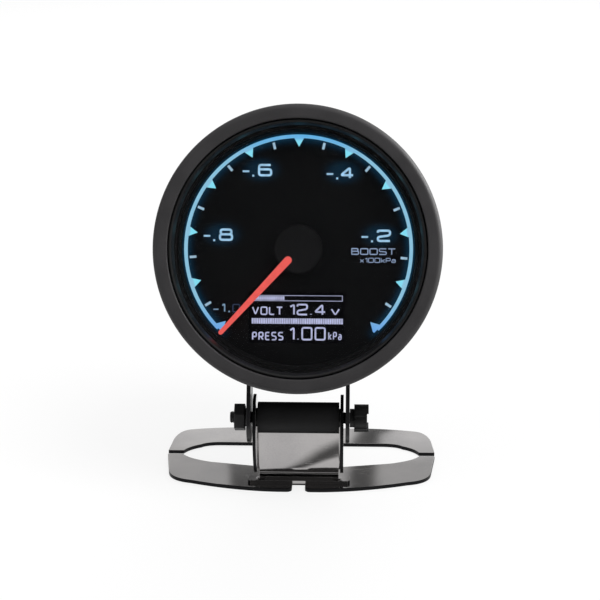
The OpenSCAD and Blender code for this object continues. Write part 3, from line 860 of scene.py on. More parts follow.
def baked(piece: Piece) -> Piece:
    """Applies a piece's modifiers to its mesh and removes them.

    Args:
        piece: The piece.

    Returns:
        The same piece.
    """
    graph = bpy.context.evaluated_depsgraph_get()
    mesh = bpy.data.meshes.new_from_object(piece.evaluated_get(graph), depsgraph=graph)
    piece.modifiers.clear()
    old, piece.data = piece.data, mesh
    bpy.data.meshes.remove(old)
    mesh.name = piece.name
    return piece


def round_edges(piece: Piece, width: float, angle: float, steps: int) -> Piece:
    """Rounds the edges of a piece.

    Args:
        piece: The piece.
        width: Width of the rounding in millimetres.
        angle: Edges sharper than this many degrees are rounded.
        steps: Faces across the rounding.

    Returns:
        The same piece.
    """
    bevel = piece.modifiers.new("edge", "BEVEL")
    bevel.width, bevel.segments, bevel.limit_method = width * MM, steps, "ANGLE"
    bevel.angle_limit = math.radians(angle)
    return baked(piece)


def softened(node: str, name: str, width: float) -> Piece:
    """Copies a node's solid and rounds its edges as pressing or moulding leaves them.

    Args:
        node: The node to copy.
        name: Name of the new piece.
        width: Width of the rounding in millimetres.

    Returns:
        The new object.
    """
    bm = bmesh.new()
    bm.from_mesh(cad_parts[node].data)
    bmesh.ops.remove_doubles(bm, verts=bm.verts, dist=0.000002)
    bmesh.ops.dissolve_limit(bm, angle_limit=math.radians(0.5), verts=bm.verts, edges=bm.edges)
    return round_edges(close_mesh(name, bm), width, angle=35, steps=3)


def dress(piece: Piece, material: Material, body: Body, slot: str, *nodes: str) -> Piece:
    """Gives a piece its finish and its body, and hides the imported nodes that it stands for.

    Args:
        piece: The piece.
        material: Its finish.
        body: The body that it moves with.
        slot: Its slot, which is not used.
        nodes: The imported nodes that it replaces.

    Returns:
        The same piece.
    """
    piece.data.materials.clear()
    piece.data.materials.append(material)
    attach(piece, body.value)
    if nodes:
        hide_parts(*nodes)
    log.info("%s rides on %s", piece.name, body.value)
    return piece


def redress(material: Material, *nodes: str) -> None:
    """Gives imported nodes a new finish.

    Args:
        material: The finish.
        nodes: Their names.
    """
    for node in nodes:
        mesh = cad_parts[node].data
        mesh.materials.clear()
        mesh.materials.append(material)
        log.info("%s has finish %s", node, material.name)


def slabs(name: str, boxes: Sequence[Box], low: float, high: float) -> Piece:
    """Makes a group of blocks that stand on the dial, in the cup's frame.

    Args:
        name: Name of the piece.
        boxes: Left, bottom, right and top of each block in millimetres.
        low: Height of the blocks' foot.
        high: Height of their top.

    Returns:
        The new object.
    """
    bm = bmesh.new()
    to_world = scaled(HEAD)
    for left, bottom, right, top in boxes:
        middle = Vector((left + right, bottom + top, low + high)) / 2
        size = Vector((right - left, top - bottom, high - low))
        for vert in bmesh.ops.create_cube(bm, size=1.0)["verts"]:
            vert.co = to_world @ (middle + vert.co * size)
    return close_mesh(name, bm)


def join(name: str, pieces: Sequence[Piece]) -> Piece:
    """Joins finished pieces into one mesh and removes them.

    Args:
        name: Name of the joined piece.
        pieces: The pieces.

    Returns:
        The joined piece.
    """
    bm = bmesh.new()
    for piece in pieces:
        bm.from_mesh(piece.data)
    for piece in pieces:
        old = piece.data
        bpy.data.objects.remove(piece)
        bpy.data.meshes.remove(old)
    return close_mesh(name, bm)


# Strokes of each character in a box of one by one, after its width: a closed stroke comes back to its start
GLYPHS: dict[str, tuple[float, list[list[Point2]]]] = {
    "0": (1.0, [[(0, 0), (1, 0), (1, 1), (0, 1), (0, 0)]]),
    "1": (0.42, [[(1, 0), (1, 1), (0.1, 0.78)]]),
    "2": (1.0, [[(0, 0.8), (0, 1), (1, 1), (1, 0.55), (0, 0.38), (0, 0), (1, 0)]]),
    "4": (1.05, [[(0.74, 0), (0.74, 1), (0, 0.27), (1, 0.27)]]),
    "6": (1.0, [[(0.95, 1), (0, 1), (0, 0), (1, 0), (1, 0.58), (0.02, 0.58)]]),
    "8": (1.0, [[(0.06, 0.54), (0.06, 1), (0.94, 1), (0.94, 0.54), (0.06, 0.54)],
                [(0, 0), (1, 0), (1, 0.54), (0, 0.54), (0, 0)]]),
    ".": (0.1, [[(0.5, 0), (0.5, 0.07)]]),
    "x": (0.7, [[(0, 0), (1, 0.68)], [(0, 0.68), (1, 0)]]),
    "k": (0.72, [[(0, 0), (0, 1)], [(1, 0.68), (0.1, 0.3)], [(0.3, 0.38), (1, 0)]]),
    "P": (0.85, [[(0, 0), (0, 1), (1, 1), (1, 0.42), (0, 0.42)]]),
    "a": (0.75, [[(0.1, 0.68), (1, 0.68), (1, 0), (0, 0), (0, 0.38), (1, 0.38)]]),
    "B": (0.92, [[(0, -0.09), (0, 1.09)], [(0, 1), (0.9, 1), (0.9, 0.54), (0, 0.54)],
                 [(0, 0), (1, 0), (1, 0.54), (0, 0.54)]]),
    "O": (1.0, [[(0, 0), (1, 0), (1, 1), (0, 1), (0, 0)]]),
    "S": (0.95, [[(1, 1), (0, 1), (0, 0.54), (1, 0.46), (1, 0), (0, 0)]]),
    "T": (0.95, [[(0, 1), (1, 1)], [(0.5, 1), (0.5, 0)]]),
    "V": (1.0, [[(0, 1), (0.5, 0), (1, 1)]]),
    "L": (0.8, [[(0, 1), (0, 0), (1, 0)]]),
    "R": (0.92, [[(0, 0), (0, 1), (1, 1), (1, 0.42), (0, 0.42)], [(0.5, 0.42), (1, 0)]]),
    "E": (0.85, [[(1, 1), (0, 1), (0, 0), (1, 0)], [(0, 0.52), (0.9, 0.52)]]),
}
# Gap between letters for their height, and rounding of a stroke's corners for its width
LETTER_GAP = 0.15
CORNER = 1.1
CORNER_STEPS = 4
# Most of a side that the rounding of one corner may take, and least slant of a mitre
SIDE_SHARE = 0.45
MITRE = 0.5


def rounded_line(points: Sequence[Point2], radius: float) -> list[Point2]:
    """Rounds the corners of a line, and of its seam where it is closed.

    Args:
        points: The line's corners. A closed line ends where it starts.
        radius: How far from a corner its rounding starts.

    Returns:
        The rounded line.
    """
    closed = points[0] == points[-1]
    corners = list(points[:-1]) if closed else list(points)
    line = []
    for i, corner in enumerate(corners):
        if not closed and i in (0, len(corners) - 1):
            line.append(corner)
            continue
        here = Vector(corner)
        before, after = Vector(corners[i - 1]) - here, Vector(corners[(i + 1) % len(corners)]) - here
        back, ahead = (tuple(here + way.normalized() * min(radius, way.length * SIDE_SHARE))
                       for way in (before, after))
        line += curve(back, corner, ahead, CORNER_STEPS)
    return line + [line[0]] if closed else line


def ribbon(bm: bmesh.types.BMesh, line: Sequence[Point2], width: float, level: float) -> None:
    """Adds a closed flat strip of even width along a line on the dial.

    Args:
        bm: The mesh that takes the strip.
        line: Points in millimetres. A closed line ends where it starts.
        width: Width of the strip.
        level: Height of its foot in the cup's frame.
    """
    closed = line[0] == line[-1]
    points = [Vector(point) for point in (line[:-1] if closed else line)]
    count, high, to_world = len(points), level + PRINT_T, scaled(HEAD)
    rows = []
    for i, point in enumerate(points):
        ways = []
        if closed or i > 0:
            ways.append((point - points[i - 1]).normalized())
        if closed or i < count - 1:
            ways.append((points[(i + 1) % count] - point).normalized())
        way = sum(ways, Vector((0.0, 0.0))).normalized()
        side = Vector((-way.y, way.x)) * (width / 2 / max(way.dot(ways[0]), MITRE))
        corners = [(point + side, level), (point - side, level), (point - side, high), (point + side, high)]
        rows.append([bm.verts.new(to_world @ Vector((flat.x, flat.y, up))) for flat, up in corners])
    for one, two in list(zip(rows, rows[1:])) + ([(rows[-1], rows[0])] if closed else []):
        for k in range(4):
            bm.faces.new([one[k - 1], one[k], two[k], two[k - 1]])
    if not closed:
        bm.faces.new(rows[0])
        bm.faces.new(rows[-1][::-1])


# Sub-assemblies


@dataclass
class Cup:
    """Moulded cup around the gauge, with a flat seat cut into its underside for the bracket."""

    rim: float = 34.8
    lip_bore: float = 31.25
    lip: float = 0.35
    bore: float = 30.3
    edge: float = 1.4
    band: float = 5.0
    fade: float = 4.0
    lean: float = 0.5
    body: float = 33.4
    rear: float = 32.7
    corner: float = 6.0
    depth: float = 46.5
    shelf: float = 8.0
    floor: float = 44.0
    outlet: float = 8.0
    outlet_low: float = 6.0
    outlet_sides: int = 96
    seat: float = 31.2
    seat_len: float = 13.0
    spare: float = 1.0
    soft: float = 0.15

    def outline(self) -> list[Point2]:
        """Closed outline of the wall, from the floor's middle along the inside to the lip and back outside.

        Returns:
            Radius and height of each point.
        """
        return ([(0.0, -self.floor), (self.bore, -self.floor), (self.bore, -self.shelf),
                 (self.lip_bore, -self.shelf)]
                + arc(self.lip_bore + self.lip, -self.lip, self.lip, 180, 90, 5)
                + arc(self.rim - self.edge, -self.edge, self.edge, 90, 0, 12)
                + curve((self.rim, -self.band), (self.body + self.lean, -self.band - self.fade / 2),
                        (self.body, -self.band - self.fade))
                + arc(self.rear - self.corner, self.corner - self.depth, self.corner, 0, -90, 14)
                + [(0.0, -self.depth)])

    def build(self, finish: Material) -> Piece:
        """Makes the cup and cuts its cable outlet and its seat.

        Args:
            finish: Its finish.

        Returns:
            The cup.
        """
        shell = lathe("moulded_cup", self.outline(), HEAD)
        back, front = -self.depth - self.spare, self.spare - self.floor
        hole = lathe("cup_hole", [(0.0, back), (self.outlet, back), (self.outlet, front), (0.0, front)],
                     HEAD @ Matrix.Translation((0, -self.outlet_low, 0)), self.outlet_sides)
        half = self.seat_len / 2
        step = slabs("cup_step", [(-self.rim, -self.seat - self.rim, self.rim, -self.seat)],
                     -STAND.reach - half, -STAND.reach + half)
        for cutter in (hole, step):
            boolean = shell.modifiers.new(cutter.name, "BOOLEAN")
            boolean.object, boolean.operation, boolean.solver = cutter, "DIFFERENCE", "EXACT"
        baked(shell)
        for cutter in (hole, step):
            bpy.data.objects.remove(cutter)
        shell = round_edges(shell, self.soft, angle=40, steps=2)
        return dress(shell, finish, Body.HEAD, "cup_plastic", "mounting_cup")


@dataclass
class Case:
    """Front of the gauge: bezel, lens, dial, scale and display.

    The slope's upper end lies outside the opening and behind the front, and its foot is rounded at the lens.
    """

    lens_z: float = 3.0
    opening: float = 29.8
    bezel: float = 31.0
    can: float = 30.05
    seat: float = 30.45
    can_z: float = 5.0
    bezel_end: float = 7.5
    front: float = 0.7
    slope: Point2 = (0.55, 0.25)
    crest: float = 0.9
    crest_round: float = 0.2
    edge_round: float = 0.3
    foot_round: float = 0.12
    foot_rise: float = 0.14

    def bezel_ring(self, finish: Material) -> None:
        """Makes the bezel with its sloped inner face and small edge roundings.

        Args:
            finish: Its finish.
        """
        crest, edge, foot = self.crest_round, self.edge_round, self.foot_round
        outline = ([(self.opening + self.slope[0], -self.front - self.slope[1])]
                   + arc(self.opening + self.crest, -self.front - crest, crest, 150, 90, 4)
                   + arc(self.bezel - edge, -self.front - edge, edge, 90, 0, 5)
                   + [(self.bezel, -self.bezel_end), (self.can, -self.bezel_end), (self.can, -self.can_z),
                      (self.seat, -self.can_z), (self.seat, -self.lens_z), (self.opening, -self.lens_z)]
                   + arc(self.opening + foot, self.foot_rise - self.lens_z, foot, 240, 165, 3))
        dress(lathe("front_bezel", outline, HEAD), finish, Body.HEAD, "case_plastic", "gauge_bezel")

    def build(self, finishes: Finishes) -> None:
        """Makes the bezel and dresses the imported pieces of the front.

        Args:
            finishes: The shared finishes.
        """
        self.bezel_ring(finishes.case)
        redress(ClearLens("clear_lens").build(), "lens")
        redress(DialFace("dial_face").build(), "dial_plate")
        redress(LitGuide("scale_lit").build(), "scale_ring")
        redress(LitPrint("tick_lit", (0.46, 0.70, 0.90)).build(), "scale_ticks")
        redress(finishes.display, "display_glass")


@dataclass
class Needle:
    """Red needle with a softened tip, and the dark cap over its root."""

    rest: float = 227.4
    start: float = 2.7
    length: float = 28.2
    root: float = 1.9
    tip: float = 1.1
    level: float = -7.2
    thick: float = 0.8
    soft: float = 0.12

    def build(self, finishes: Finishes) -> None:
        """Makes the blade and dresses the cap.

        Args:
            finishes: The shared finishes.
        """
        line = arc(self.start + self.root / 2, 0, self.root / 2, 90, 270, 12)
        line += arc(self.length - self.tip / 2, 0, self.tip / 2, -90, 90, 8)
        to_world = scaled(HEAD @ Matrix.Rotation(math.radians(self.rest), 4, "Z"))
        bm = bmesh.new()
        low, high = ([bm.verts.new(to_world @ Vector((x, y, level))) for x, y in line]
                     for level in (self.level, self.level + self.thick))
        bm.faces.new(low[::-1])
        bm.faces.new(high)
        for i in range(len(line)):
            bm.faces.new([low[i - 1], low[i], high[i], high[i - 1]])
        blade = round_edges(close_mesh("red_needle", bm, outward=True), self.soft, angle=30, steps=2)
        red = LitPrint("needle_lit", (0.88, 0.12, 0.105), glow=0.9, dim=0.9).build()
        dress(blade, red, Body.NEEDLE, "needle_red", "needle_blade")
        redress(finishes.cap, "needle_cap")


@dataclass(frozen=True)
class Word:
    """Raised stroke lettering that fills a rectangle on the dial. Its weight is the width of its strokes."""

    text: str
    middle: Point2
    size: Point2
    weight: float

    def build(self, level: float, name: str = "letters") -> Piece:
        """Makes the lettering.

        Args:
            level: Height of its foot in the cup's frame.
            name: Name of the piece.

        Returns:
            The new object.
        """
        bm = bmesh.new()
        (width, height), weight = self.size, self.weight
        gap = LETTER_GAP * height + weight
        unit = (width - weight - gap * (len(self.text) - 1)) / sum(GLYPHS[letter][0] for letter in self.text)
        left, foot = (at - (side - weight) / 2 for at, side in zip(self.middle, self.size))
        for letter in self.text:
            share, strokes = GLYPHS[letter]
            for stroke in strokes:
                placed = [(left + x * unit * share, foot + y * (height - weight)) for x, y in stroke]
                ribbon(bm, rounded_line(placed, weight * CORNER), weight, level)
            left += unit * share + gap
        return close_mesh(name, bm, outward=True)


def block_tree() -> bpy.types.GeometryNodeTree:
    """Builds the tree that sets equal blocks in a row.

    Returns:
        A tree with the inputs Count, Pitch, Size and Finish.
    """
    inputs = {"Geometry": "Geometry", "Count": "Int", "Pitch": "Float", "Size": "Vector",
              "Finish": "Material"}
    tree = Group("block_row", "GeometryNodeTree", inputs, {"Geometry": "Geometry"})
    step = tree.add("ShaderNodeCombineXYZ", {"X": tree.ins["Pitch"]}).outputs[0]
    row = tree.add("GeometryNodeMeshLine", {"Count": tree.ins["Count"], "Offset": step}).outputs[0]
    block = tree.add("GeometryNodeMeshCube", {"Size": tree.ins["Size"]}).outputs[0]
    placed = tree.add("GeometryNodeInstanceOnPoints", {"Points": row, "Instance": block}).outputs[0]
    real = tree.add("GeometryNodeRealizeInstances", {"Geometry": placed}).outputs[0]
    dressed = tree.add("GeometryNodeSetMaterial", {"Geometry": real, "Material": tree.ins["Finish"]})
    tree.give("Geometry", dressed.outputs[0])
    return tree.tree


@dataclass(frozen=True)
class BlockRow:
    """Row of equal blocks on the display: middle of the first block, how many there are, and their size."""

    name: str
    first: Point2
    count: int
    block: Point2
    pitch: float = 0.56

    def build(self, group: bpy.types.GeometryNodeTree, material: Material) -> Piece:
        """Sets the row with the block row tree.

        Args:
            group: The tree.
            material: Finish of the blocks.

        Returns:
            The new object.
        """
        piece = new_object(self.name, bpy.data.meshes.new(self.name))
        modifier = piece.modifiers.new("row", "NODES")
        modifier.node_group = group
        values = {"Count": self.count, "Pitch": self.pitch, "Size": (*self.block, PRINT_T),
                  "Finish": material}
        for item in group.interface.items_tree:
            if item.in_out == "INPUT" and item.name in values:
                modifier[item.identifier] = values[item.name]
        baked(piece)
        place = Matrix.Translation((*self.first, SCREEN_LEVEL + PRINT_T / 2))
        piece.data.transform(scaled(HEAD @ place))
        return piece


@dataclass
class DialPrint:
    """Numbers and plain words on the dial, and the read-out on the small display.

    Each digit has its middle and how far its dash and dot, placed from there, are moved to the right.
    """

    digits: tuple[tuple[str, Point2, float], ...] = (
        ("6", (-8.25, 19.2), 0.0), ("4", (11.7, 18.65), 0.5), ("8", (-17.7, 3.42), 0.0),
        ("2", (20.8, 3.4), 0.0))
    digit_size: Point2 = (3.5, 3.05)
    digit_weight: float = 0.55
    dash: Box = (-5.45, -0.53, -3.85, -0.08)
    dot: Box = (-3.12, -1.6, -2.64, -1.12)
    first: Word = Word("1", (-18.25, -14.4), (0.95, 2.2), 0.32)
    first_signs: tuple[Box, Box] = ((-20.7, -14.95, -19.45, -14.65), (-17.0, -15.5, -16.65, -15.15))
    zero: Word = Word("0", (-15.1, -14.5), (1.9, 2.1), 0.28)
    plain: tuple[Word, ...] = (Word("BOOST", (18.3, -0.45), (10.8, 1.62), 0.25),
                               Word("x100kPa", (19.35, -2.57), (8.7, 1.2), 0.17))
    rows: tuple[Word, ...] = (
        Word("VOLT", (-7.5, -15.1), (7.6, 2.1), 0.34), Word("12.4", (2.3, -14.75), (9.0, 2.85), 0.42),
        Word("V", (9.1, -15.3), (2.2, 1.75), 0.34), Word("PRESS", (-7.4, -21.3), (7.7, 2.1), 0.34),
        Word("1.00", (2.3, -20.65), (9.0, 3.3), 0.42), Word("kPa", (9.05, -21.15), (3.3, 2.0), 0.28))
    bar_frame: Box = (-11.3, -12.7, 10.86, -11.28)
    bar_line: float = 0.14
    bars: tuple[BlockRow, ...] = (BlockRow("upper_bar", (-10.9, -11.98), 14, (0.5, 0.9)),
                                  BlockRow("lower_bar", (-11.1, -17.6), 40, (0.48, 1.35)))

    def flat(self, name: str, boxes: Sequence[Box], level: float) -> Piece:
        """Flat printed boxes on the dial or on the display."""
        return slabs(name, boxes, level, level + PRINT_T)

    def numbers(self) -> Piece:
        """Makes the main numbers of the scale.

        Returns:
            The numbers, joined.
        """
        pieces, boxes = [], []
        for digit, (x, y), shift in self.digits:
            pieces.append(Word(digit, (x, y), self.digit_size, self.digit_weight).build(DIAL_LEVEL))
            for left, low, right, high in (self.dash, self.dot):
                boxes.append((x + shift + left, y + low, x + shift + right, y + high))
        return join("scale_numbers", pieces + [self.flat("signs", boxes, DIAL_LEVEL)])

    def first_number(self) -> Piece:
        """Small first number of the scale, dimmer than the others."""
        signs = self.flat("signs", self.first_signs, DIAL_LEVEL)
        return join("first_number", [self.first.build(DIAL_LEVEL), signs])

    def words(self) -> Piece:
        """Plain quantity and unit beside the number on the right."""
        return join("dial_words", [word.build(DIAL_LEVEL) for word in self.plain])

    def read_out(self) -> Piece:
        """Makes two rows of plain read-out with the frame of the upper bar.

        Returns:
            The read-out, joined.
        """
        thick = self.bar_line
        left, low, right, high = self.bar_frame
        sides = [(left, high - thick, right, high), (left, low, right, low + thick),
                 (left, low, left + thick, high), (right - thick, low, right, high)]
        pieces = [word.build(SCREEN_LEVEL) for word in self.rows]
        return join("display_read_out", pieces + [self.flat("frame", sides, SCREEN_LEVEL)])

    def build(self) -> None:
        """Makes and dresses every print, the faint zero beside the needle and both bars of the display."""
        number = LitPrint("number_lit", (0.42, 0.72, 1.0), glow=0.85).build()
        first = LitPrint("first_number_lit", (0.26, 0.42, 0.62)).build()
        faint = LitPrint("zero_lit", (0.035, 0.055, 0.11)).build()
        word = LitPrint("word_lit", (0.36, 0.48, 0.72)).build()
        screen = LitPrint("screen_lit", (0.55, 0.58, 0.85), glow=0.85).build()
        tree = block_tree()
        prints = [(self.numbers(), number), (self.first_number(), first),
                  (self.zero.build(DIAL_LEVEL, "first_zero"), faint), (self.words(), word),
                  (self.read_out(), screen)]
        for piece, lit in prints + [(bar.build(tree, screen), screen) for bar in self.bars]:
            dress(piece, lit, Body.HEAD, "tick_light")


@dataclass
class Clamp:
    """Screw, nut, washers, sleeve and knob on the tilt axis."""

    nut_x: float = 13.35
    nut_t: float = 2.7
    nut_soft: float = 0.18
    knob_x: float = 13.95
    knob_len: float = 3.6
    knob_soft: float = 0.14
    screw_r: float = 1.5
    screw_end: float = 0.6
    screw_sides: int = 40
    chamfer: float = 0.3
    tip: float = 1.1
    pitch: float = 0.5
    thread_depth: float = 0.16
    thread_step: float = 0.12

    def thread(self, radius: float, height: float, angle: float) -> float:
        """Finds the radius of the screw's thread.

        Args:
            radius: Radius of the plain screw there.
            height: Place along it.
            angle: Place around it, in radians.

        Returns:
            The radius.
        """
        if radius < self.screw_r:
            return radius
        turn = (height / self.pitch - angle / math.tau) % 1.0
        return radius - self.thread_depth * abs(2 * turn - 1)

    def screw(self) -> Piece:
        """Makes the screw with its thread and chamfered ends.

        Returns:
            The screw.
        """
        start, end = -self.nut_x - self.nut_t - self.tip, self.knob_x + self.knob_len * self.screw_end
        root, length = self.screw_r - self.chamfer, end - start - self.chamfer
        count = int((end - start) / self.thread_step)
        line = [(0.0, start), (root, start)]
        line += [(self.screw_r, start + self.chamfer + i * length / count) for i in range(count + 1)]
        line += [(root, end), (0.0, end)]
        return lathe("threaded_screw", line, STAND.axle(), self.screw_sides, self.thread)

    def build(self, finishes: Finishes) -> None:
        """Makes or dresses every piece of the clamp.

        Args:
            finishes: The shared finishes.
        """
        dress(self.screw(), finishes.steel, Body.CLAMP, "black_steel", "clamp_screw")
        redress(finishes.steel, "spacer_tube", "knob_washer", "nut_washer")
        redress(finishes.rubber, "rubber_sleeve")
        nut = softened("lock_nut", "hex_nut", self.nut_soft)
        dress(nut, finishes.steel, Body.STAND, "black_steel", "lock_nut")
        knob = softened("clamp_knob", "fluted_knob", self.knob_soft)
        dress(knob, finishes.black, Body.CLAMP, "black_plastic", "clamp_knob")


@dataclass
class Sheets:
    """Pressed base, pressed hinge and painted bracket, each with the width of its rounded edges."""

    base: float = 0.16
    hinge: float = 0.12
    bracket: float = 0.15

    def build(self, finishes: Finishes) -> None:
        """Makes the three sheets and dresses the rivets.

        Args:
            finishes: The shared finishes.
        """
        base = softened("base_plate", "pressed_base", self.base)
        dress(base, finishes.plated, Body.STAND, "base_sheet", "base_plate")
        hinge = softened("hinge_bracket", "pressed_hinge", self.hinge)
        dress(hinge, finishes.hinge, Body.STAND, "base_sheet", "hinge_bracket")
        bracket = softened("cup_bracket", "painted_bracket", self.bracket)
        dress(bracket, finishes.painted, Body.HEAD, "bracket_sheet", "cup_bracket")
        redress(finishes.hinge, "foot_rivets")


class Insides:
    """Pieces inside the cup and behind the dial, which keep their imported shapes."""

    def build(self, finishes: Finishes) -> None:
        """Dresses every piece.

        Args:
            finishes: The shared finishes.
        """
        redress(finishes.steel, "bracket_screws")
        redress(finishes.rubber, "seat_gasket", "grip_band", "lens_gasket")
        redress(finishes.black, "stepper_motor")
        redress(finishes.cap, "trim_ring")
        redress(finishes.white, "light_housing", "display_carrier")
        redress(finishes.cream, "scale_lamps", "power_socket", "sensor_socket")
        redress(finishes.board, "main_board", "rear_board")
        redress(finishes.chip, "control_chip", "driver_chips", "board_link")
        redress(finishes.bright, "board_screws", "cover_screws", "needle_shaft")
        redress(finishes.case, "gauge_can", "rear_cover")


# Stage, in metres


@dataclass(frozen=True)
class Card:
    """Plain card beside the object that only reflections show.

    A soft card fades in over a part of its width, from its first and last corners and from the other two.
    """

    name: str
    plane: Plane
    level: float
    corners: tuple[Point2, Point2, Point2, Point2]
    shade: float = 0.02
    soft: float = 0.0

    def look(self) -> Material:
        """Makes the material.

        Returns:
            The material.
        """
        tree = Surface(self.name)
        glow = tree.add("ShaderNodeEmission", {"Color": (self.shade,) * 3, "Strength": 1.0}).outputs[0]
        if not self.soft:
            return tree.close(glow)
        side = tree.parts(tree.add("ShaderNodeUVMap", uv_map="across").outputs[0])[0]
        near = tree.math("MINIMUM", side, tree.less(1.0, side))
        clear = tree.add("ShaderNodeBsdfTransparent").outputs[0]
        return tree.close(tree.mixed(tree.spread(near, (0.0, self.soft)), clear, glow))

    def build(self) -> None:
        """Makes the card and hides it from all but reflections."""
        at = self.plane.value
        mesh = bpy.data.meshes.new(self.name)
        mesh.from_pydata([(*c[:at], self.level, *c[at:]) for c in self.corners], [], [(0, 1, 2, 3)])
        across = mesh.uv_layers.new(name="across")
        for loop, place in zip(across.data, ((0.0, 0.0), (1.0, 0.0), (1.0, 1.0), (0.0, 1.0))):
            loop.uv = place
        card = finish_mesh(self.name, mesh)
        for kind in ("camera", "diffuse", "transmission", "volume_scatter", "shadow"):
            setattr(card, "visible_" + kind, False)
        mesh.materials.append(self.look())


@dataclass(frozen=True)
class Lamp:
    """Soft square lamp, with its side in metres and its power in watts.

    An edge lamp only shows in reflections, and any other lamp never shows there.
    """

    name: str
    place: Point3
    side: float
    power: float
    edge: bool = False

    def build(self, aim: Point3) -> Piece:
        """Hangs the lamp.

        Args:
            aim: What it points at.

        Returns:
            The lamp.
        """
        data = bpy.data.lights.new(self.name, "AREA")
        data.shape, data.size, data.energy = "SQUARE", self.side, self.power
        lamp = new_object(self.name, data)
        lamp.location = self.place
        lamp.rotation_euler = (Vector(aim) - Vector(self.place)).to_track_quat("-Z", "Y").to_euler()
        lamp.visible_glossy, lamp.visible_diffuse = self.edge, not self.edge
        return lamp


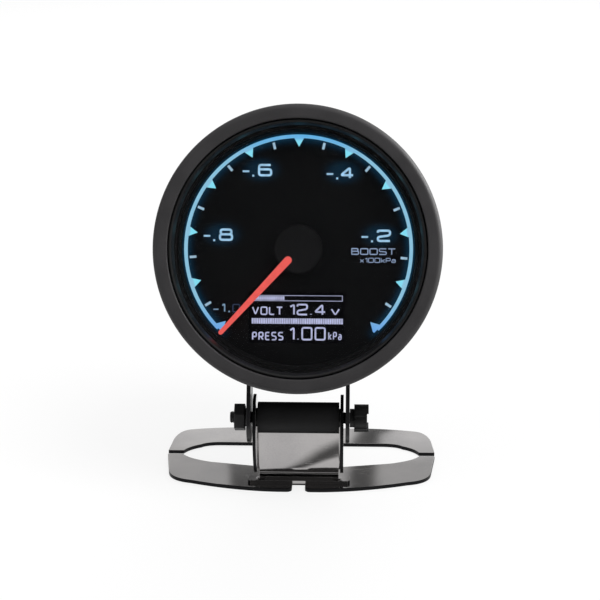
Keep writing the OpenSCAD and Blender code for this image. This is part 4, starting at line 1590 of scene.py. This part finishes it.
@dataclass
class Studio:
    """Floor, lamps, cards, sky and camera. Angles are degrees, and the focal length and rim are in pixels."""

    view_az: float = 1.8
    view_el: float = 14.5
    view_roll: float = -0.05
    distance: float = 0.420
    focal: float = 1758.8
    picture: int = 600
    rim_at: Point2 = (297.3, 249.2)
    sensor: float = 36.0
    clip: Point2 = (0.01, 50.0)
    sky_light: float = 0.55
    floor_radius: float = 6.0
    floor_shade: float = 0.9
    floor_glow: float = 0.78
    aim: Point3 = (0.0, -0.01, 0.05)
    lamps: tuple[Lamp, ...] = (Lamp("key", (0.5, -0.5, 0.9), 0.6, 7.0),
                               Lamp("fill", (-0.8, -0.6, 0.6), 0.8, 3.0),
                               Lamp("back", (0.1, 0.9, 0.7), 0.8, 5.0))
    edge: Lamp = Lamp("edge", (0.72, 0.11, 0.42), 0.5, 18.0, True)
    cards: tuple[Card, ...] = (
        Card("front_card", Plane.WALL, -0.9, ((-0.9, 0.03), (0.9, 0.03), (0.9, 1.1), (-0.9, 1.1)), 0.08),
        Card("left_card", Plane.SIDE, -0.7, ((-0.9, 0.0), (0.5, 0.0), (0.5, 1.2), (-0.9, 1.2)), 0.15),
        Card("back_card", Plane.WALL, 0.51, ((-0.4, 0.196), (0.4, 0.196), (0.4, 0.6), (-0.4, 0.6)), 0.62),
        Card("floor_card", Plane.GROUND, 0.0005, ((-0.3, -0.5), (0.3, -0.5), (0.3, -0.062), (-0.3, -0.062))),
        Card("streak_low", Plane.WALL, 0.5,
             ((0.022, 0.170), (0.050, 0.170), (0.032, 0.188), (0.011, 0.188)), 0.10, 0.3),
        Card("streak_high", Plane.WALL, 0.5,
             ((0.011, 0.188), (0.032, 0.188), (0.028, 0.260), (0.004, 0.260)), 0.12, 0.3),
        Card("streak_left", Plane.WALL, 0.5,
             ((-0.057, 0.198), (-0.036, 0.198), (-0.034, 0.260), (-0.060, 0.260)), 0.12, 0.15),
        Card("streak_foot", Plane.GROUND, 0.0005,
             ((-0.0060, -0.0262), (0.0025, -0.0262), (0.0150, -0.0370), (0.0095, -0.0535)), 0.14, 0.45))

    def camera(self) -> None:
        """Sets the camera where the photograph was taken."""
        az, el = math.radians(self.view_az), math.radians(self.view_el)
        back = Vector((math.sin(az) * math.cos(el), -math.cos(az) * math.cos(el), math.sin(el)))
        right = Vector((0, 0, 1)).cross(back).normalized()
        up = back.cross(right)
        roll = Matrix.Rotation(math.radians(self.view_roll), 3, back)
        right, up = roll @ right, roll @ up
        half = self.picture / 2
        aim_x, aim_y = (self.rim_at[0] - half) / self.focal, (half - self.rim_at[1]) / self.focal
        forward = (-back - right * aim_x - up * aim_y).normalized()
        side = forward.cross(up).normalized()
        turn = Matrix((side, side.cross(forward), -forward)).transposed()
        data = bpy.data.cameras.new("camera")
        data.sensor_width, data.lens = self.sensor, self.focal / self.picture * self.sensor
        data.clip_start, data.clip_end = self.clip
        camera = new_object("camera", data)
        rim = scaled(HEAD).to_translation()
        camera.matrix_world = Matrix.Translation(rim + back * self.distance) @ turn.to_4x4()
        bpy.context.scene.camera = camera

    def sky(self) -> None:
        """Makes a white surround for the eye and for reflections, and a plain one for light."""
        world = bpy.data.worlds.new("studio")
        bpy.context.scene.world = world
        world.use_nodes = True
        tree = Tree(world.node_tree)
        plain, white = (tree.add("ShaderNodeBackground", {"Color": WHITE, "Strength": strength}).outputs[0]
                        for strength in (self.sky_light, 1.0))
        tree.add("ShaderNodeOutputWorld", {"Surface": tree.mixed(tree.seen(), plain, white)})

    def floor(self) -> None:
        """Lays a plain pale floor that keeps the object's shadow."""
        bm = bmesh.new()
        bmesh.ops.create_circle(bm, cap_ends=True, segments=96, radius=self.floor_radius)
        floor = close_mesh("floor", bm)
        tree = Surface("floor_white")
        plain = tree.add("ShaderNodeBsdfDiffuse", {"Color": (self.floor_shade,) * 3}).outputs[0]
        white = tree.add("ShaderNodeEmission", {"Color": WHITE, "Strength": 1.0}).outputs[0]
        look = tree.mixed(tree.times(tree.seen(), self.floor_glow), plain, white)
        floor.data.materials.append(tree.close(look))

    def build(self) -> None:
        """Makes the whole stage but for the edge lamp."""
        bpy.context.scene.view_settings.view_transform = "Standard"
        self.camera()
        self.sky()
        self.floor()
        for card in self.cards:
            card.build()
        for lamp in self.lamps:
            lamp.build(self.aim)

    def edge_lamp(self, *pieces: Piece) -> None:
        """Hangs the lamp whose reflection runs along the cup's right side, and lets only some pieces have it.

        Args:
            pieces: The pieces that it lights.
        """
        lit = bpy.data.collections.new("edge_lit")
        for piece in pieces:
            lit.objects.link(piece)
        self.edge.build(self.aim).light_linking.receiver_collection = lit


def main() -> None:
    """Builds the stage and every sub-assembly in order."""
    logging.basicConfig(level=logging.INFO, format="%(name)s: %(message)s")
    studio = Studio()
    studio.build()
    finishes = Finishes()
    studio.edge_lamp(Cup().build(finishes.cup))
    Case().build(finishes)
    Needle().build(finishes)
    DialPrint().build()
    Clamp().build(finishes)
    Sheets().build(finishes)
    Insides().build(finishes)


if __name__ == "__main__":
    main()
